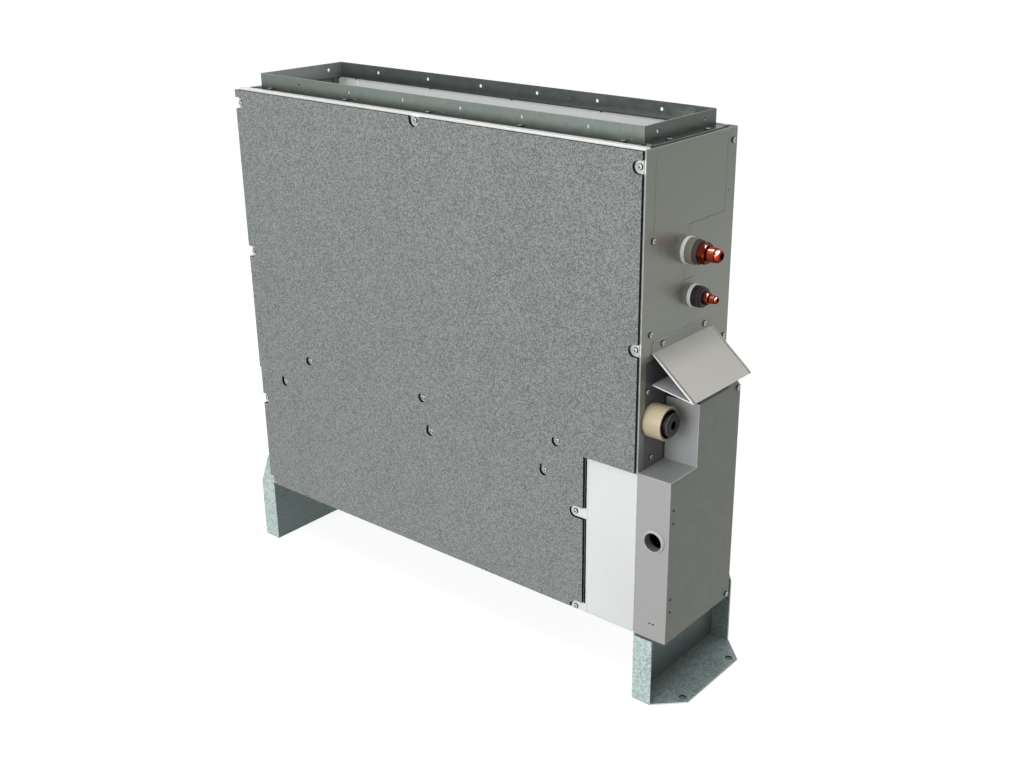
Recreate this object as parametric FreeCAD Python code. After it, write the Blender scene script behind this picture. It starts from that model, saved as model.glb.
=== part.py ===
import FreeCAD, Part
import math
import os

os.makedirs("parts", exist_ok=True)
Vector = FreeCAD.Vector

# All sizes are millimetres. The origin is on the floor, in the middle of the four foot holes.
# +X points to the pipe side, +Y to the wall behind the unit, +Z up.

# Cabinet
cabinet_width = 700.0
cabinet_depth = 196.0
cabinet_height = 620.0
leg_height = 100.0
sheet = 1.2
hem_depth = 10.0
side_flange = 14.0
back_return = 18.0
post_face = 16.0
post_depth = 24.0
bead_width = 14.0
bead_depth = 2.4
bead_inset = 72.0
bead_heights = (186.0, 384.0, 533.0)
lip_depth = 9.0

# Front panel and its insulating facing
facing = 4.2
facing_overhang = 2.4
facing_step_height = 200.0
facing_top_gap = 0.7
facing_bottom_gap = 3.8
panel_gap = 0.6
tab_radius = 8.0
peep_radius = 6.5
edge_screw_inset = 4.0
right_screw_inset = 7.7
upper_screw_drop = 19.0
middle_screw_height = 384.0
lower_screw_height = 149.0
foot_screw_height = 8.5
top_screw_drop = 5.6
top_screw_x = -3.0
bottom_screw_height = 5.8
bottom_screw_out = 14.3
deck_screw_drop = 4.5
deck_screw_left = 113.0
deck_screw_middle = -8.0
deck_screw_right = 124.0
tongue_drop = 51.4
tongue_screw_left = 54.0
tongue_screw_middle = 5.0
tongue_screw_right = 144.0
tongue_half_width = 9.0
tongue_end = 8.0

bottom_flange = 14.0
inlet_rim = 8.0

# Duct collar on top
collar_side_gap = 21.0
collar_front_gap = 25.4
collar_back_gap = 16.6
collar_height = 21.0
collar_flange = 11.0
collar_end_flange = 15.0
collar_tab = 18.0
collar_hole_radius = 2.3
collar_hole_pitch = 100.0
collar_end_hole_pitch = 100.0
collar_hole_height = 11.5
collar_holes = 6
collar_screw_inset = 25.0
collar_screws_along = 5
collar_end_screw_pitch = 82.0
collar_end_screw_inset = 4.5
collar_lap = 12.0
corner_screw_inset = 10.0
corner_screw_front = 18.0
corner_screw_back = 13.5

# Screws
screw_radius = 1.9
screw_head_radius = 3.8
screw_head_height = 2.2
screw_length = 5.0
screw_hole_clearance = 0.15

# Legs
leg_sheet = 2.0
leg_flange = 29.0
foot_reach = 65.0
foot_chamfer = 35.0
foot_hole_radius = 4.5
foot_hole_out = 54.0
foot_hole_in = 40.0
short_flange_gap = 3.5
tab_rise = 46.0
tab_width = 32.0
tab_chamfer = 20.0
seat_width = 20.0
seat_screw_reach = 52.0
leg_screw_height = 22.0

# Terminal box on the pipe side
box_reach = 48.4
box_depth = 154.5
box_corner = 9.4
notch_depth = 57.5
notch_gap = 62.1
notch_rise = 89.2
box_hole_radius = 1.8
box_hole_inset = 8.7
box_hole_heights = (44.0, 62.0, 169.0, 187.0)
box_slot_height = 22.0
box_slot_length = 8.0
box_slot_width = 2.0
box_slot_bridge = 2.4
box_screw_inset = 7.5
box_screw_drop = 11.0
box_screw_rise = 6.0
bracket_height = 11.0
bracket_arm = 16.0
bracket_foot_gap = 4.0
block_front = 70.0
block_height = 110.0
block_ways = 5
block_pitch = 11.0
block_barrier = 2.0
block_depth = 16.0
block_floor = 9.0
block_rise = 26.0
block_screw_radius = 3.2
block_screw_height = 2.5
grommet_radius = 15.5
grommet_neck = 13.0
grommet_bore = 11.3
grommet_out = 27.0
grommet_height = 141.0
grommet_lip = 1.5

# Control box behind the white cover
cover_width = 77.0
cover_top_gap = 1.9
cover_bottom_gap = 1.0
cover_return = 7.0
cover_gap = 3.0
ear_height = 14.8
ear_screw_out = 16.0
ear_screw_height = 146.0
foot_ear_reach = 21.0
foot_ear_height = 13.8
foot_ear_corner = 6.0
foot_ear_clearance = 1.5
housing_depth = 92.0
cable_slot_front = 30.0
cable_slot_height = 120.0
cable_slot_width = 30.0
cable_slot_rise = 40.0
board_thickness = 1.6
board_standoff = 8.0
board_side_gap = 6.0
board_end_gap = 11.0
board_post_inset = 5.0
board_post_radius = 2.5
capacitor_radius = 8.0
capacitor_height = 26.0
capacitor_pitch = 20.0
capacitor_inset = 14.0
relay_side = 15.0
relay_pitch = 20.0
relay_start = 60.0
plug_width = 9.0
plug_length = 24.0
plug_pitch = 32.0
plug_inset = 12.0
sink_length = 36.0
sink_base = 4.0
sink_height = 20.0
sink_fins = 6
sink_fin_pitch = 6.0
sink_fin = 2.0

# Drip hood
hood_width = 134.0
hood_front_gap = 23.0
hood_flange = 14.0
hood_gap = 59.0
hood_reach = 59.0
hood_drop = 49.0
hood_return_drop = 39.6
hood_wall_gap = 2.0
hood_side_hem = 4.0
hood_hem_gap = 3.0
hood_corner = 5.0
hood_screw_inset = 20.5
hood_screw_rise = 8.0

# Refrigerant pipes
gas_pipe_radius = 6.35
gas_back = 92.4
pipe_pitch = 60.6
gas_ring_radius = 17.0
gas_sleeve_radius = 15.9
gas_sleeve_length = 15.0
gas_sleeve_cap = 5.0
gas_thread_radius = 9.5
gas_hex = 24.0
gas_bore = 4.3
liquid_pipe_radius = 3.2
liquid_back = 108.4
liquid_rise = 51.8
liquid_ring_radius = 14.5
liquid_sleeve_radius = 13.4
liquid_sleeve_length = 13.0
liquid_sleeve_cap = 4.0
liquid_thread_radius = 5.5
liquid_hex = 15.0
liquid_bore = 2.4
ring_thickness = 5.0
sleeve_step = 0.8
sleeve_edge = 1.2
hex_length = 10.0
thread_length = 12.0
nose_length = 6.0
small_hex_length = 6.5
small_thread_length = 8.0
small_nose_length = 3.5
pipe_wall = 0.9
ring_cover = 3.0
ring_edge = 0.7
sleeve_inside = 24.0
union_socket = 0.6
hex_chamfer = 1.6
thread_relief = 1.4
thread_chamfer = 0.8
nose_groove = 1.4
nose_start = 0.5
nose_rim = 0.8
dome_steps = 4

valve_radius = 9.0
valve_half_height = 16.0
valve_neck_radius = 6.0
valve_neck_rise = 26.0
valve_outlet_radius = 5.0
valve_outlet = 13.0
valve_can_radius = 17.0
valve_can_height = 20.0
valve_can_gap = 1.0
valve_offset = 4.0

# Drain
drain_back = 28.0
drain_rise = 26.5
socket_radius = 21.5
socket_neck = 19.5
socket_bore = 17.5
socket_out = 25.0
socket_clearance = 2.0
socket_gap = 0.3
socket_bead = 3.0
socket_bead_length = 4.0
socket_chamfer = 1.2
post_clearance = 4.0
plug_radius = 16.0
plug_out = 31.5
plug_hole = 5.6
plug_in = 4.0
plug_grip = 9.0
plug_edge = 2.6
plug_recess = 12.0
pan_wall = 3.0
pan_depth = 99.0
pan_front_gap = 10.0
pan_end_gap = 20.0
pan_rise = 50.0
pan_feet = 20.8
pan_foot_length = 40.0
pan_foot_width = 8.0
pan_foot_inset = 12.0
window_front = 11.7
window_depth = 58.0
window_below = 8.4
window_above = 8.6
window_lap = 8.0

# Fan chamber
deck_height = 240.0
deck_flange = 14.0
fan_axis_height = 112.0
fan_back_gap = 99.0
fan_left_gap = 150.0
fan_right_gap = 220.0
casing_width = 140.0
scroll_radius = 71.0
scroll_step = 7.0
tongue_angle = 70.0
outlet_flange = 6.0
inlet_radius = 52.0
inlet_clearance = 4.0
inlet_flange = 10.0
inlet_flare = 3.0
inlet_throat = 6.0
inlet_wall = 1.2
impeller_radius = 61.0
impeller_ring = 5.0
impeller_ring_length = 3.0
impeller_gap = 8.0
blade_count = 36
blade_inner_radius = 49.5
blade_outer_radius = 59.5
blade_thickness = 0.9
blade_lean = 7.0
blade_bow = 2.2
disc_thickness = 1.6
hub_radius = 12.0
hub_length = 28.0
shaft_overhang = 4.0
shaft_radius = 5.0
running_gap = 0.05
motor_radius = 40.0
motor_length = 84.0
motor_wall = 3.0
motor_edge = 6.0
motor_seal = 1.5
seal_gap = 1.5
inner_seal_gap = 4.0
rotor_inset = 18.0
stator_inset = 16.0
rotor_radius = 23.0
air_gap = 0.6
bearing_radius = 11.0
bearing_length = 7.0
boss_radius = 14.0
boss_length = 9.0
mount_radius = 19.0
mount_thickness = 6.0
bracket_width = 56.0
bracket_sheet = 2.0
bracket_drop = 6.0

# Coil
coil_left_gap = 55.0
coil_right_gap = 105.0
coil_height = 296.0
coil_thickness = 44.0
coil_lean = 20.0
coil_foot_back = 60.0
fin_pitch = 9.0
fin_thickness = 3.6
fin_depth = 9.0
tube_radius = 4.75
tube_pitch = 25.4
end_plate = 1.2
coil_edge = 2.0
coil_lug_start = 213.0
coil_lug_height = 60.0
bend_lead = 6.0
bend_start = 14.0
bend_pairs = 5
far_bend_start = 90.0
feed_along = 59.0
header_radius = 8.0
header_length = 110.0
header_gap = 16.0
header_across = 8.0
liner = 5.0
liner_joint = 42.0
liner_joint_width = 1.6

# Air filter
filter_left_gap = 48.0
filter_right_gap = 104.0
filter_margin = 16.0
filter_thickness = 4.6
filter_border = 12.0
filter_gap = 0.3
filter_mesh = 0.8
filter_ribs = 3
filter_handle = 70.0
filter_pull = 9.0
filter_rib = 4.0
rib_lap = 2.0
mesh_grip = 4.0
rail_sheet = 1.2
rail_lip = 9.0
inlet_margin = 10.0

# Pressed lines on the pipe side, and the other screws there
press_width = 0.7
press_depth = 0.25
press_front = 20.0
press_step = 95.5
press_back = 174.6
press_top_gap = 12.0
press_rise = 31.5
slot_front = 87.0
slot_reach = 25.0
slot_rise = 24.0
slot_height = 15.0
side_screw_inset = 18.4
back_screw_inset = 9.4
top_side_screw_drop = 16.0
upper_side_screw_rise = 26.0
middle_side_screw_rise = 24.7
lower_back_screw_rise = 37.4
window_screw_inset = 16.5
window_screw_rise = 39.0
window_foot_screw_inset = 28.5
window_foot_screw_rise = 11.2
open_hole_inset = 14.7
open_hole_drop = 76.6

# Places that follow from the sizes above
left = -cabinet_width / 2
right = cabinet_width / 2
front = -cabinet_depth / 2
back = cabinet_depth / 2
base = leg_height
top = base + cabinet_height
deck = base + deck_height
pan_front = front + pan_front_gap
pan_back = pan_front + pan_depth
pan_left = left + pan_end_gap
pan_right = right - pan_end_gap
pan_floor = deck + sheet + pan_feet
pan_top = pan_floor + pan_rise
drain_y = front + drain_back
drain_z = pan_floor + drain_rise
notch_floor = drain_z - notch_gap
notch_back = front + notch_depth
box_face = right + box_reach
box_back = front + box_depth
box_top = notch_floor + notch_rise
hood_bend = box_top + hood_gap
liquid_y = front + liquid_back
liquid_z = hood_bend + liquid_rise
gas_y = front + gas_back
gas_z = liquid_z + pipe_pitch
cover_left = right - cover_width
cover_bottom = base + cover_bottom_gap
cover_top = notch_floor - cover_top_gap
collar_width = cabinet_width - 2 * collar_side_gap
collar_depth = cabinet_depth - collar_front_gap - collar_back_gap
collar_front = front + collar_front_gap
collar_back = back - collar_back_gap
collar_middle = (collar_front + collar_back) / 2
fan_y = back - fan_back_gap
fan_z = base + fan_axis_height
fan_centres = (left + fan_left_gap, right - fan_right_gap)
motor_x = (fan_centres[0] + fan_centres[1]) / 2
gas_union_x = right + ring_thickness + gas_sleeve_length
liquid_union_x = right + ring_thickness + liquid_sleeve_length
hood_front = front + hood_front_gap
hood_back = hood_front + hood_width
coil_left = left + coil_left_gap
coil_right = right - coil_right_gap
coil_length = coil_right - coil_left
filter_x0 = left + filter_left_gap
filter_x1 = right - filter_right_gap
filter_y0 = front + filter_margin
filter_y1 = back - filter_margin
filter_top = base - filter_gap
filter_bottom = filter_top - filter_thickness

# Where the screws go: front ones as (x, z), side ones as (y, z), top ones as (x, y)
left_screws = [
    (left + edge_screw_inset, top - upper_screw_drop),
    (left + edge_screw_inset, base + middle_screw_height),
    (left + edge_screw_inset, base + lower_screw_height),
    (left + edge_screw_inset, base + foot_screw_height),
]
right_screws = [
    (right - right_screw_inset, top - upper_screw_drop),
    (right - right_screw_inset, base + middle_screw_height),
]
top_screws = [(top_screw_x, top - top_screw_drop)]
bottom_screws = [(cover_left - bottom_screw_out, base + bottom_screw_height)]
ear_screws = [(cover_left - ear_screw_out, base + ear_screw_height)]
deck_screws = [
    (x, deck - deck_screw_drop)
    for x in (left + deck_screw_left, deck_screw_middle, right - deck_screw_right)
]
tongue_screws = [
    (x, deck - tongue_drop)
    for x in (left + tongue_screw_left, tongue_screw_middle, right - tongue_screw_right)
]
front_places = left_screws + right_screws + top_screws + deck_screws + tongue_screws
cover_places = bottom_screws + ear_screws
post_screws = [
    (front + side_screw_inset, gas_z + upper_side_screw_rise),
    (front + side_screw_inset, hood_bend + middle_side_screw_rise),
]
return_screws = [
    (back - back_screw_inset, top - top_side_screw_drop),
    (back - back_screw_inset, box_top + lower_back_screw_rise),
]
window_screws = [
    (front + window_screw_inset, drain_z + window_screw_rise),
    (front + window_foot_screw_inset, notch_floor + window_foot_screw_rise),
]
hood_screws = [
    (hood_front + hood_screw_inset, hood_bend + hood_screw_rise),
    (hood_back - hood_screw_inset, hood_bend + hood_screw_rise),
]
collar_screw_pitch = (collar_width - 2 * collar_screw_inset) / (collar_screws_along - 1)
collar_long_screws = [
    (-collar_width / 2 + collar_screw_inset + i * collar_screw_pitch, y)
    for i in range(collar_screws_along)
    for y in (collar_front - collar_flange / 2, collar_back + collar_flange / 2)
]
collar_end_x = collar_width / 2 + collar_end_flange - collar_end_screw_inset
collar_end_screws = [
    (side * collar_end_x, collar_middle + end * collar_end_screw_pitch / 2)
    for side in (-1, 1)
    for end in (-1, 1)
]
corner_screws = [
    (side * (cabinet_width / 2 - corner_screw_inset), y)
    for side in (-1, 1)
    for y in (front + corner_screw_front, back - corner_screw_back)
]


# A rectangular block between two corners.
def block(x0, y0, z0, x1, y1, z1):
    return Part.makeBox(x1 - x0, y1 - y0, z1 - z0, Vector(x0, y0, z0))


# A cylinder that starts at a point and runs along a direction.
def rod(x, y, z, radius, length, direction):
    return Part.makeCylinder(radius, length, Vector(x, y, z), direction)


# A flat outline given as points, pushed along a direction.
def prism(points, direction):
    loop = Part.makePolygon([Vector(*p) for p in points + points[:1]])
    return Part.Face(loop).extrude(direction)


# A shape turned about the X axis from (x, radius) points.
def turned(outline, y, z):
    points = [(x, y, z + r) for x, r in outline]
    loop = Part.makePolygon([Vector(*p) for p in points + points[:1]])
    return Part.Face(loop).revolve(Vector(0, y, z), Vector(1, 0, 0), 360)


# The points of a bent sheet's edge, from the line along the middle of the sheet.
def sheet_outline(path, thickness):
    sides = ([], [])
    for i, (a, b) in enumerate(path):
        before = path[i - 1] if i > 0 else None
        after = path[i + 1] if i < len(path) - 1 else None
        steps = []
        if before:
            steps.append((a - before[0], b - before[1]))
        if after:
            steps.append((after[0] - a, after[1] - b))
        normals = [(-v / math.hypot(u, v), u / math.hypot(u, v)) for u, v in steps]
        nu = sum(n[0] for n in normals)
        nv = sum(n[1] for n in normals)
        size = math.hypot(nu, nv)
        nu = nu / size
        nv = nv / size
        reach = thickness / 2 / (nu * normals[0][0] + nv * normals[0][1])
        sides[0].append((a + nu * reach, b + nv * reach))
        sides[1].append((a - nu * reach, b - nv * reach))
    return sides[0] + sides[1][::-1]


# A bent sheet whose edge lies in the XZ plane, running along Y.
def bent_along_y(path, thickness, y0, y1):
    points = [(a, y0, b) for a, b in sheet_outline(path, thickness)]
    return prism(points, Vector(0, y1 - y0, 0))


# A bent sheet whose edge lies in the XY plane, running up Z.
def bent_along_z(path, thickness, z0, z1):
    points = [(a, b, z0) for a, b in sheet_outline(path, thickness)]
    return prism(points, Vector(0, 0, z1 - z0))


# A round tube or bar along straight runs, with an arc of the same radius at each corner.
def pipe(points, bend, radius, bore):
    corners = [Vector(*p) for p in points]
    edges = []
    start = corners[0]
    for i in range(1, len(corners) - 1):
        towards = (corners[i - 1] - corners[i]).normalize()
        away = (corners[i + 1] - corners[i]).normalize()
        half = towards.getAngle(away) / 2
        cut = bend / math.tan(half)
        first = corners[i] + towards * cut
        last = corners[i] + away * cut
        inward = (towards + away).normalize()
        centre = corners[i] + inward * (bend / math.sin(half))
        edges.append(Part.LineSegment(start, first).toShape())
        edges.append(Part.Arc(first, centre - inward * bend, last).toShape())
        start = last
    edges.append(Part.LineSegment(start, corners[-1]).toShape())
    spine = Part.Wire(edges)
    direction = corners[1] - corners[0]
    outside = Part.Wire(Part.makeCircle(radius, corners[0], direction))
    body = spine.makePipeShell([outside], True, False)
    if bore > 0:
        inside = Part.Wire(Part.makeCircle(bore, corners[0], direction))
        body = body.cut(spine.makePipeShell([inside], True, False))
    return body


# Several solids joined into one, with the seams cleaned away.
def joined(shapes):
    return shapes[0].multiFuse(shapes[1:]).removeSplitter()


# A pan-head screw whose head sits on a face; inward points into the face.
def pan_screw(point, inward):
    out = inward * -1
    head = Part.makeCylinder(screw_head_radius, screw_head_height * 0.45, point, out)
    crown = Part.makeCone(
        screw_head_radius,
        screw_head_radius * 0.55,
        screw_head_height * 0.55,
        point + out * (screw_head_height * 0.45),
        out,
    )
    shank = Part.makeCylinder(screw_radius, screw_length, point, inward)
    return joined([head, crown, shank])


# The holes that a set of screws needs, wide enough to clear the shanks.
def screw_holes(points, inward):
    reach = screw_length + 3 * sheet
    radius = screw_radius + screw_hole_clearance
    holes = []
    for point in points:
        start = point - inward * (2 * sheet)
        holes.append(Part.makeCylinder(radius, reach + 2 * sheet, start, inward))
    return holes


into_front = Vector(0, 1, 0)
into_side = Vector(-1, 0, 0)
into_top = Vector(0, 0, -1)


# Screw seats on the front plane, the side plane and the top plane.
def on_front(places, y):
    return [Vector(x, y, z) for x, z in places]


def on_side(places, x):
    return [Vector(x, y, z) for y, z in places]


def on_top(places, z):
    return [Vector(x, y, z) for x, y in places]


# A fine pressed line in the pipe side's face, along (y, z) points.
def pressed_line(path):
    grooves = []
    half = press_width / 2
    for (y0, z0), (y1, z1) in zip(path, path[1:]):
        low = (right - press_depth, min(y0, y1) - half, min(z0, z1) - half)
        grooves.append(block(*low, right + press_depth, max(y0, y1) + half, max(z0, z1) + half))
    return grooves


# The pressed panel above the pipes, and the short slot line between them.
def pipe_side_lines():
    y0 = front + press_front
    y1 = front + press_step
    y2 = front + press_back
    z0 = gas_z + press_rise
    panel = [(y1, gas_z + gas_ring_radius), (y1, z0), (y2, z0), (y2, top - press_top_gap)]
    edge = [(y0, z0), (y0, top - press_top_gap)]
    y3 = front + slot_front
    z3 = liquid_z + slot_rise
    tongue = [(y3, z3 + slot_height), (y3, z3), (y3 + slot_reach, z3)]
    return pressed_line(panel) + pressed_line(edge) + pressed_line(tongue)


# Side plate on the pipe side, with a hemmed front edge and openings for the pipes and the drain.
def right_side_plate():
    plate = block(right - sheet, front, base, right, back, top)
    hem = block(right - 2 * sheet, front, base, right - sheet, front + hem_depth, top)
    x0 = right - side_flange
    flange = block(x0, front + hem_depth, top - 2 * sheet, right - sheet, back - sheet, top - sheet)
    body = joined([plate, hem, flange])
    x1 = right - 3 * sheet
    cover_relief = block(x1, front - sheet, base - sheet, right + sheet, front + 1.5 * sheet, notch_floor)
    window = block(
        right - 2 * sheet,
        front + window_front,
        notch_floor - window_below,
        right + sheet,
        front + window_front + window_depth,
        hood_bend - window_above,
    )
    socket_relief = rod(x1, drain_y, drain_z, socket_radius + socket_clearance, 6 * sheet, Vector(1, 0, 0))
    cuts = [cover_relief, window, socket_relief] + pipe_side_lines()
    for y, z, radius in ((gas_y, gas_z, gas_ring_radius), (liquid_y, liquid_z, liquid_ring_radius)):
        cuts.append(rod(right - 2 * sheet, y, z, radius - ring_cover, 4 * sheet, Vector(1, 0, 0)))
    open_hole = (back - open_hole_inset, top - open_hole_drop)
    cuts.append(rod(right - 2 * sheet, *open_hole, screw_radius, 4 * sheet, Vector(1, 0, 0)))
    cuts += screw_holes(on_side(post_screws + return_screws + hood_screws, right), into_side)
    cuts += screw_holes(leg_screw_points(1), into_side)
    cuts += screw_holes(top_flange_points(1), into_top)
    return body.cut(cuts)


# Plain side plate on the other end.
def left_side_plate():
    plate = block(left, front + sheet, base, left + sheet, back, top)
    x1 = left + side_flange
    flange = block(left + sheet, front + hem_depth, top - 2 * sheet, x1, back - sheet, top - sheet)
    body = joined([plate, flange])
    cuts = screw_holes(leg_screw_points(-1), into_side * -1)
    cuts += screw_holes(top_flange_points(-1), into_top)
    return body.cut(cuts)


# The screws that also pass through one side plate's top flange.
def top_flange_points(side):
    return [point for point in on_top(collar_end_screws + corner_screws, top) if point.x * side > 0]


# Back plate with folded returns and three stiffening beads pressed inwards.
def back_plate():
    plate = block(left + sheet, back - sheet, base, right - sheet, back, top)
    pieces = [plate]
    for x in (left + sheet, right - 2 * sheet):
        pieces.append(block(x, back - back_return, base + sheet, x + sheet, back - sheet, top - 2 * sheet))
    grooves = []
    run = Vector(cabinet_width - 2 * bead_inset, 0, 0)
    groove_run = run - Vector(2 * sheet, 0, 0)
    for rise in bead_heights:
        z = base + rise
        half = bead_width / 2
        ridge = [(z - half, 0), (z - half / 2, bead_depth), (z + half / 2, bead_depth), (z + half, 0)]
        start = left + bead_inset
        pieces.append(prism([(start, back - sheet - d, h) for h, d in ridge], run))
        grooves.append(prism([(start + sheet, back - d, h) for h, d in ridge], groove_run))
    body = joined(pieces).cut(grooves)
    return body.cut(screw_holes(on_side(return_screws, right) + leg_screw_points(1), into_side))


# Top plate with the duct opening and a folded lip along the front edge.
def top_plate():
    plate = block(left + sheet, front, top - sheet, right - sheet, back - sheet, top)
    lip = block(left + sheet, front, top, right - sheet, front + lip_depth, top + 2 * sheet)
    opening = block(
        -collar_width / 2 + 2 * sheet,
        collar_front + 2 * sheet,
        top - 2 * sheet,
        collar_width / 2 - 2 * sheet,
        collar_back - 2 * sheet,
        top + sheet,
    )
    hem_relief = block(right - 2 * sheet, front, top - sheet, right - sheet, front + hem_depth, top)
    body = joined([plate, lip]).cut([opening, hem_relief])
    places = collar_long_screws + collar_end_screws + corner_screws
    return body.cut(screw_holes(on_top(places, top), into_top))


# One of the two equal angles that make the duct collar: a long wall, an end wall and their flanges.
def collar_angle(turned_round):
    x0 = -collar_width / 2
    x1 = collar_width / 2
    y0 = -collar_depth / 2
    y1 = collar_depth / 2
    z0 = top
    z1 = top + collar_height
    long_wall = block(x0, y1 - sheet, z0, x1 - collar_tab - panel_gap, y1, z1)
    lap = block(x1 - collar_tab - collar_lap, y1 - 2 * sheet, z0, x1 - 2 * sheet, y1 - sheet, z1)
    end_wall = block(x0, y0, z0, x0 + sheet, y1, z1)
    tab = block(x0, y0, z0, x0 + collar_tab, y0 + sheet, z1)
    flange_end = x1 - collar_tab - panel_gap
    long_flange = block(x0 + sheet, y1 - sheet, z0, flange_end, y1 + collar_flange, z0 + sheet)
    end_flange = block(x0 - collar_end_flange, y0 + sheet, z0, x0 + sheet, y1 - sheet, z0 + sheet)
    body = joined([long_wall, lap, end_wall, tab, long_flange, end_flange])
    cuts = []
    hole_z = z0 + collar_hole_height
    for i in range(collar_holes):
        x = (i - (collar_holes - 1) / 2) * collar_hole_pitch
        cuts.append(rod(x, y1 - 3 * sheet, hole_z, collar_hole_radius, 6 * sheet, Vector(0, 1, 0)))
    for end in (-1, 1):
        y = end * collar_end_hole_pitch / 2
        cuts.append(rod(x0 - sheet, y, hole_z, collar_hole_radius, 4 * sheet, Vector(1, 0, 0)))
    body = body.cut(cuts)
    if turned_round:
        body.rotate(Vector(0, 0, 0), Vector(0, 0, 1), 180)
    body.translate(Vector(0, collar_middle, 0))
    return body.cut(screw_holes(on_top(collar_long_screws + collar_end_screws, top), into_top))


# The steel front panel, cut away at the lower right for the control box cover.
def front_panel():
    x0 = left
    x1 = right - 2 * sheet - panel_gap
    x2 = cover_left - cover_gap
    z0 = base + facing_bottom_gap - sheet
    z1 = top - sheet - panel_gap
    z2 = notch_floor
    outline = [(x0, z0), (x2, z0), (x2, z2), (x1, z2), (x1, z1), (x0, z1)]
    body = prism([(x, front, z) for x, z in outline], Vector(0, sheet, 0))
    return body.cut(screw_holes(on_front(front_places + cover_places, front), into_front))


# A slot from a screw out to the edge of the facing, with a round inner end.
def edge_notch(x, z, dx, dz):
    y = front - 2 * facing
    depth = Vector(0, 3 * facing, 0)
    hole = rod(x, y, z, tab_radius, 3 * facing, Vector(0, 1, 0))
    side_x = tab_radius * abs(dz)
    side_z = tab_radius * abs(dx)
    far = 3 * tab_radius
    outline = [
        (x - side_x, z - side_z),
        (x - side_x + dx * far, z - side_z + dz * far),
        (x + side_x + dx * far, z + side_z + dz * far),
        (x + side_x, z + side_z),
    ]
    return hole.fuse(prism([(a, y, b) for a, b in outline], depth))


# A round peep hole with a small pointed rise at its top.
def peep_hole(x, z, pointed):
    y = front - 2 * facing
    depth = Vector(0, 3 * facing, 0)
    hole = rod(x, y, z, peep_radius, 3 * facing, Vector(0, 1, 0))
    if not pointed:
        return hole
    rise = 1.5 * peep_radius
    side = 0.8 * peep_radius
    tip = prism([(x - peep_radius, y, z), (x + side, y, z + side * 0.6), (x - side, y, z + rise)], depth)
    return hole.fuse(tip)


# Speckled insulating facing glued over the front panel.
def front_facing():
    x0 = left - facing_overhang
    x1 = right - 2 * sheet
    x2 = cover_left - cover_gap
    z0 = base + facing_bottom_gap
    z1 = top - facing_top_gap
    z2 = notch_floor
    step = base + facing_step_height
    outline = [(left, z0), (x2, z0), (x2, z2), (x1, z2), (x1, z1), (x0, z1), (x0, step), (left, step)]
    body = prism([(x, front - facing, z) for x, z in outline], Vector(0, facing, 0))
    cuts = [edge_notch(x, z, -1, 0) for x, z in left_screws]
    cuts += [edge_notch(x, z, 1, 0) for x, z in right_screws + ear_screws]
    cuts += [edge_notch(x, z, 0, 1) for x, z in top_screws]
    cuts.append(foot_ear(foot_ear_clearance, front - 2 * facing, 3 * facing))
    cuts += [peep_hole(x, z, False) for x, z in deck_screws]
    cuts += [peep_hole(x, z, True) for x, z in tongue_screws]
    return body.cut(cuts)


# Angle post inside a front corner, which the panel and the side plate are screwed to.
def front_post(side, inner, bottom):
    x = side * (cabinet_width / 2 - inner)
    y0 = front + 1.5 * sheet
    path = [(x - side * post_face, y0), (x - side * sheet / 2, y0), (x - side * sheet / 2, y0 + post_depth)]
    body = bent_along_z(path, sheet, bottom, top - 2 * sheet)
    cuts = screw_holes(on_front(left_screws + right_screws, front), into_front)
    cuts += screw_holes(on_side(post_screws + window_screws, right), into_side)
    cuts += screw_holes(leg_screw_points(-1), into_side * -1)
    run = post_face + 4 * sheet
    radius = socket_neck + post_clearance
    cuts.append(rod(right - run, drain_y, drain_z, radius, run, Vector(1, 0, 0)))
    return body.cut(cuts)


# Bottom plate with the air inlet, a raised rim round it and a front flange.
def bottom_plate():
    y0 = front + sheet
    y1 = back - sheet
    plate = block(left + sheet, y0, base, right - sheet, y1, base + sheet)
    flange_end = cover_left - 2 * cover_gap
    flange = block(left + 2 * post_face, y0, base, flange_end, y0 + sheet, base + bottom_flange)
    x0 = filter_x0 + inlet_margin
    x1 = filter_x1 - inlet_margin
    w0 = filter_y0 + inlet_margin
    w1 = filter_y1 - inlet_margin
    rim = block(x0 - sheet, w0 - sheet, base, x1 + sheet, w1 + sheet, base + inlet_rim)
    hole = block(x0, w0, base - sheet, x1, w1, base + 2 * inlet_rim)
    hem_relief = block(right - 2 * sheet, y0, base - 1.0, right, front + hem_depth, base + 2 * sheet)
    body = joined([plate, flange, rim]).cut([hole, hem_relief])
    cuts = screw_holes(on_front(bottom_screws, front), into_front)
    cuts += screw_holes(seat_screw_points(), into_top * -1)
    return body.cut(cuts)


# Seats of the screws that hold the bottom plate down on the legs.
def seat_screw_points():
    points = []
    for side in (-1, 1):
        for end in (-1, 1):
            x = side * (cabinet_width - seat_width) / 2
            points.append(Vector(x, end * seat_screw_reach, base - leg_sheet))
    return points


# Seats of the screws through one leg's tall tab.
def leg_screw_points(side):
    x = side * (cabinet_width / 2 + leg_sheet)
    y = side * (cabinet_depth / 2 - tab_width / 2)
    return [Vector(x, y, base + leg_screw_height)]


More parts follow.
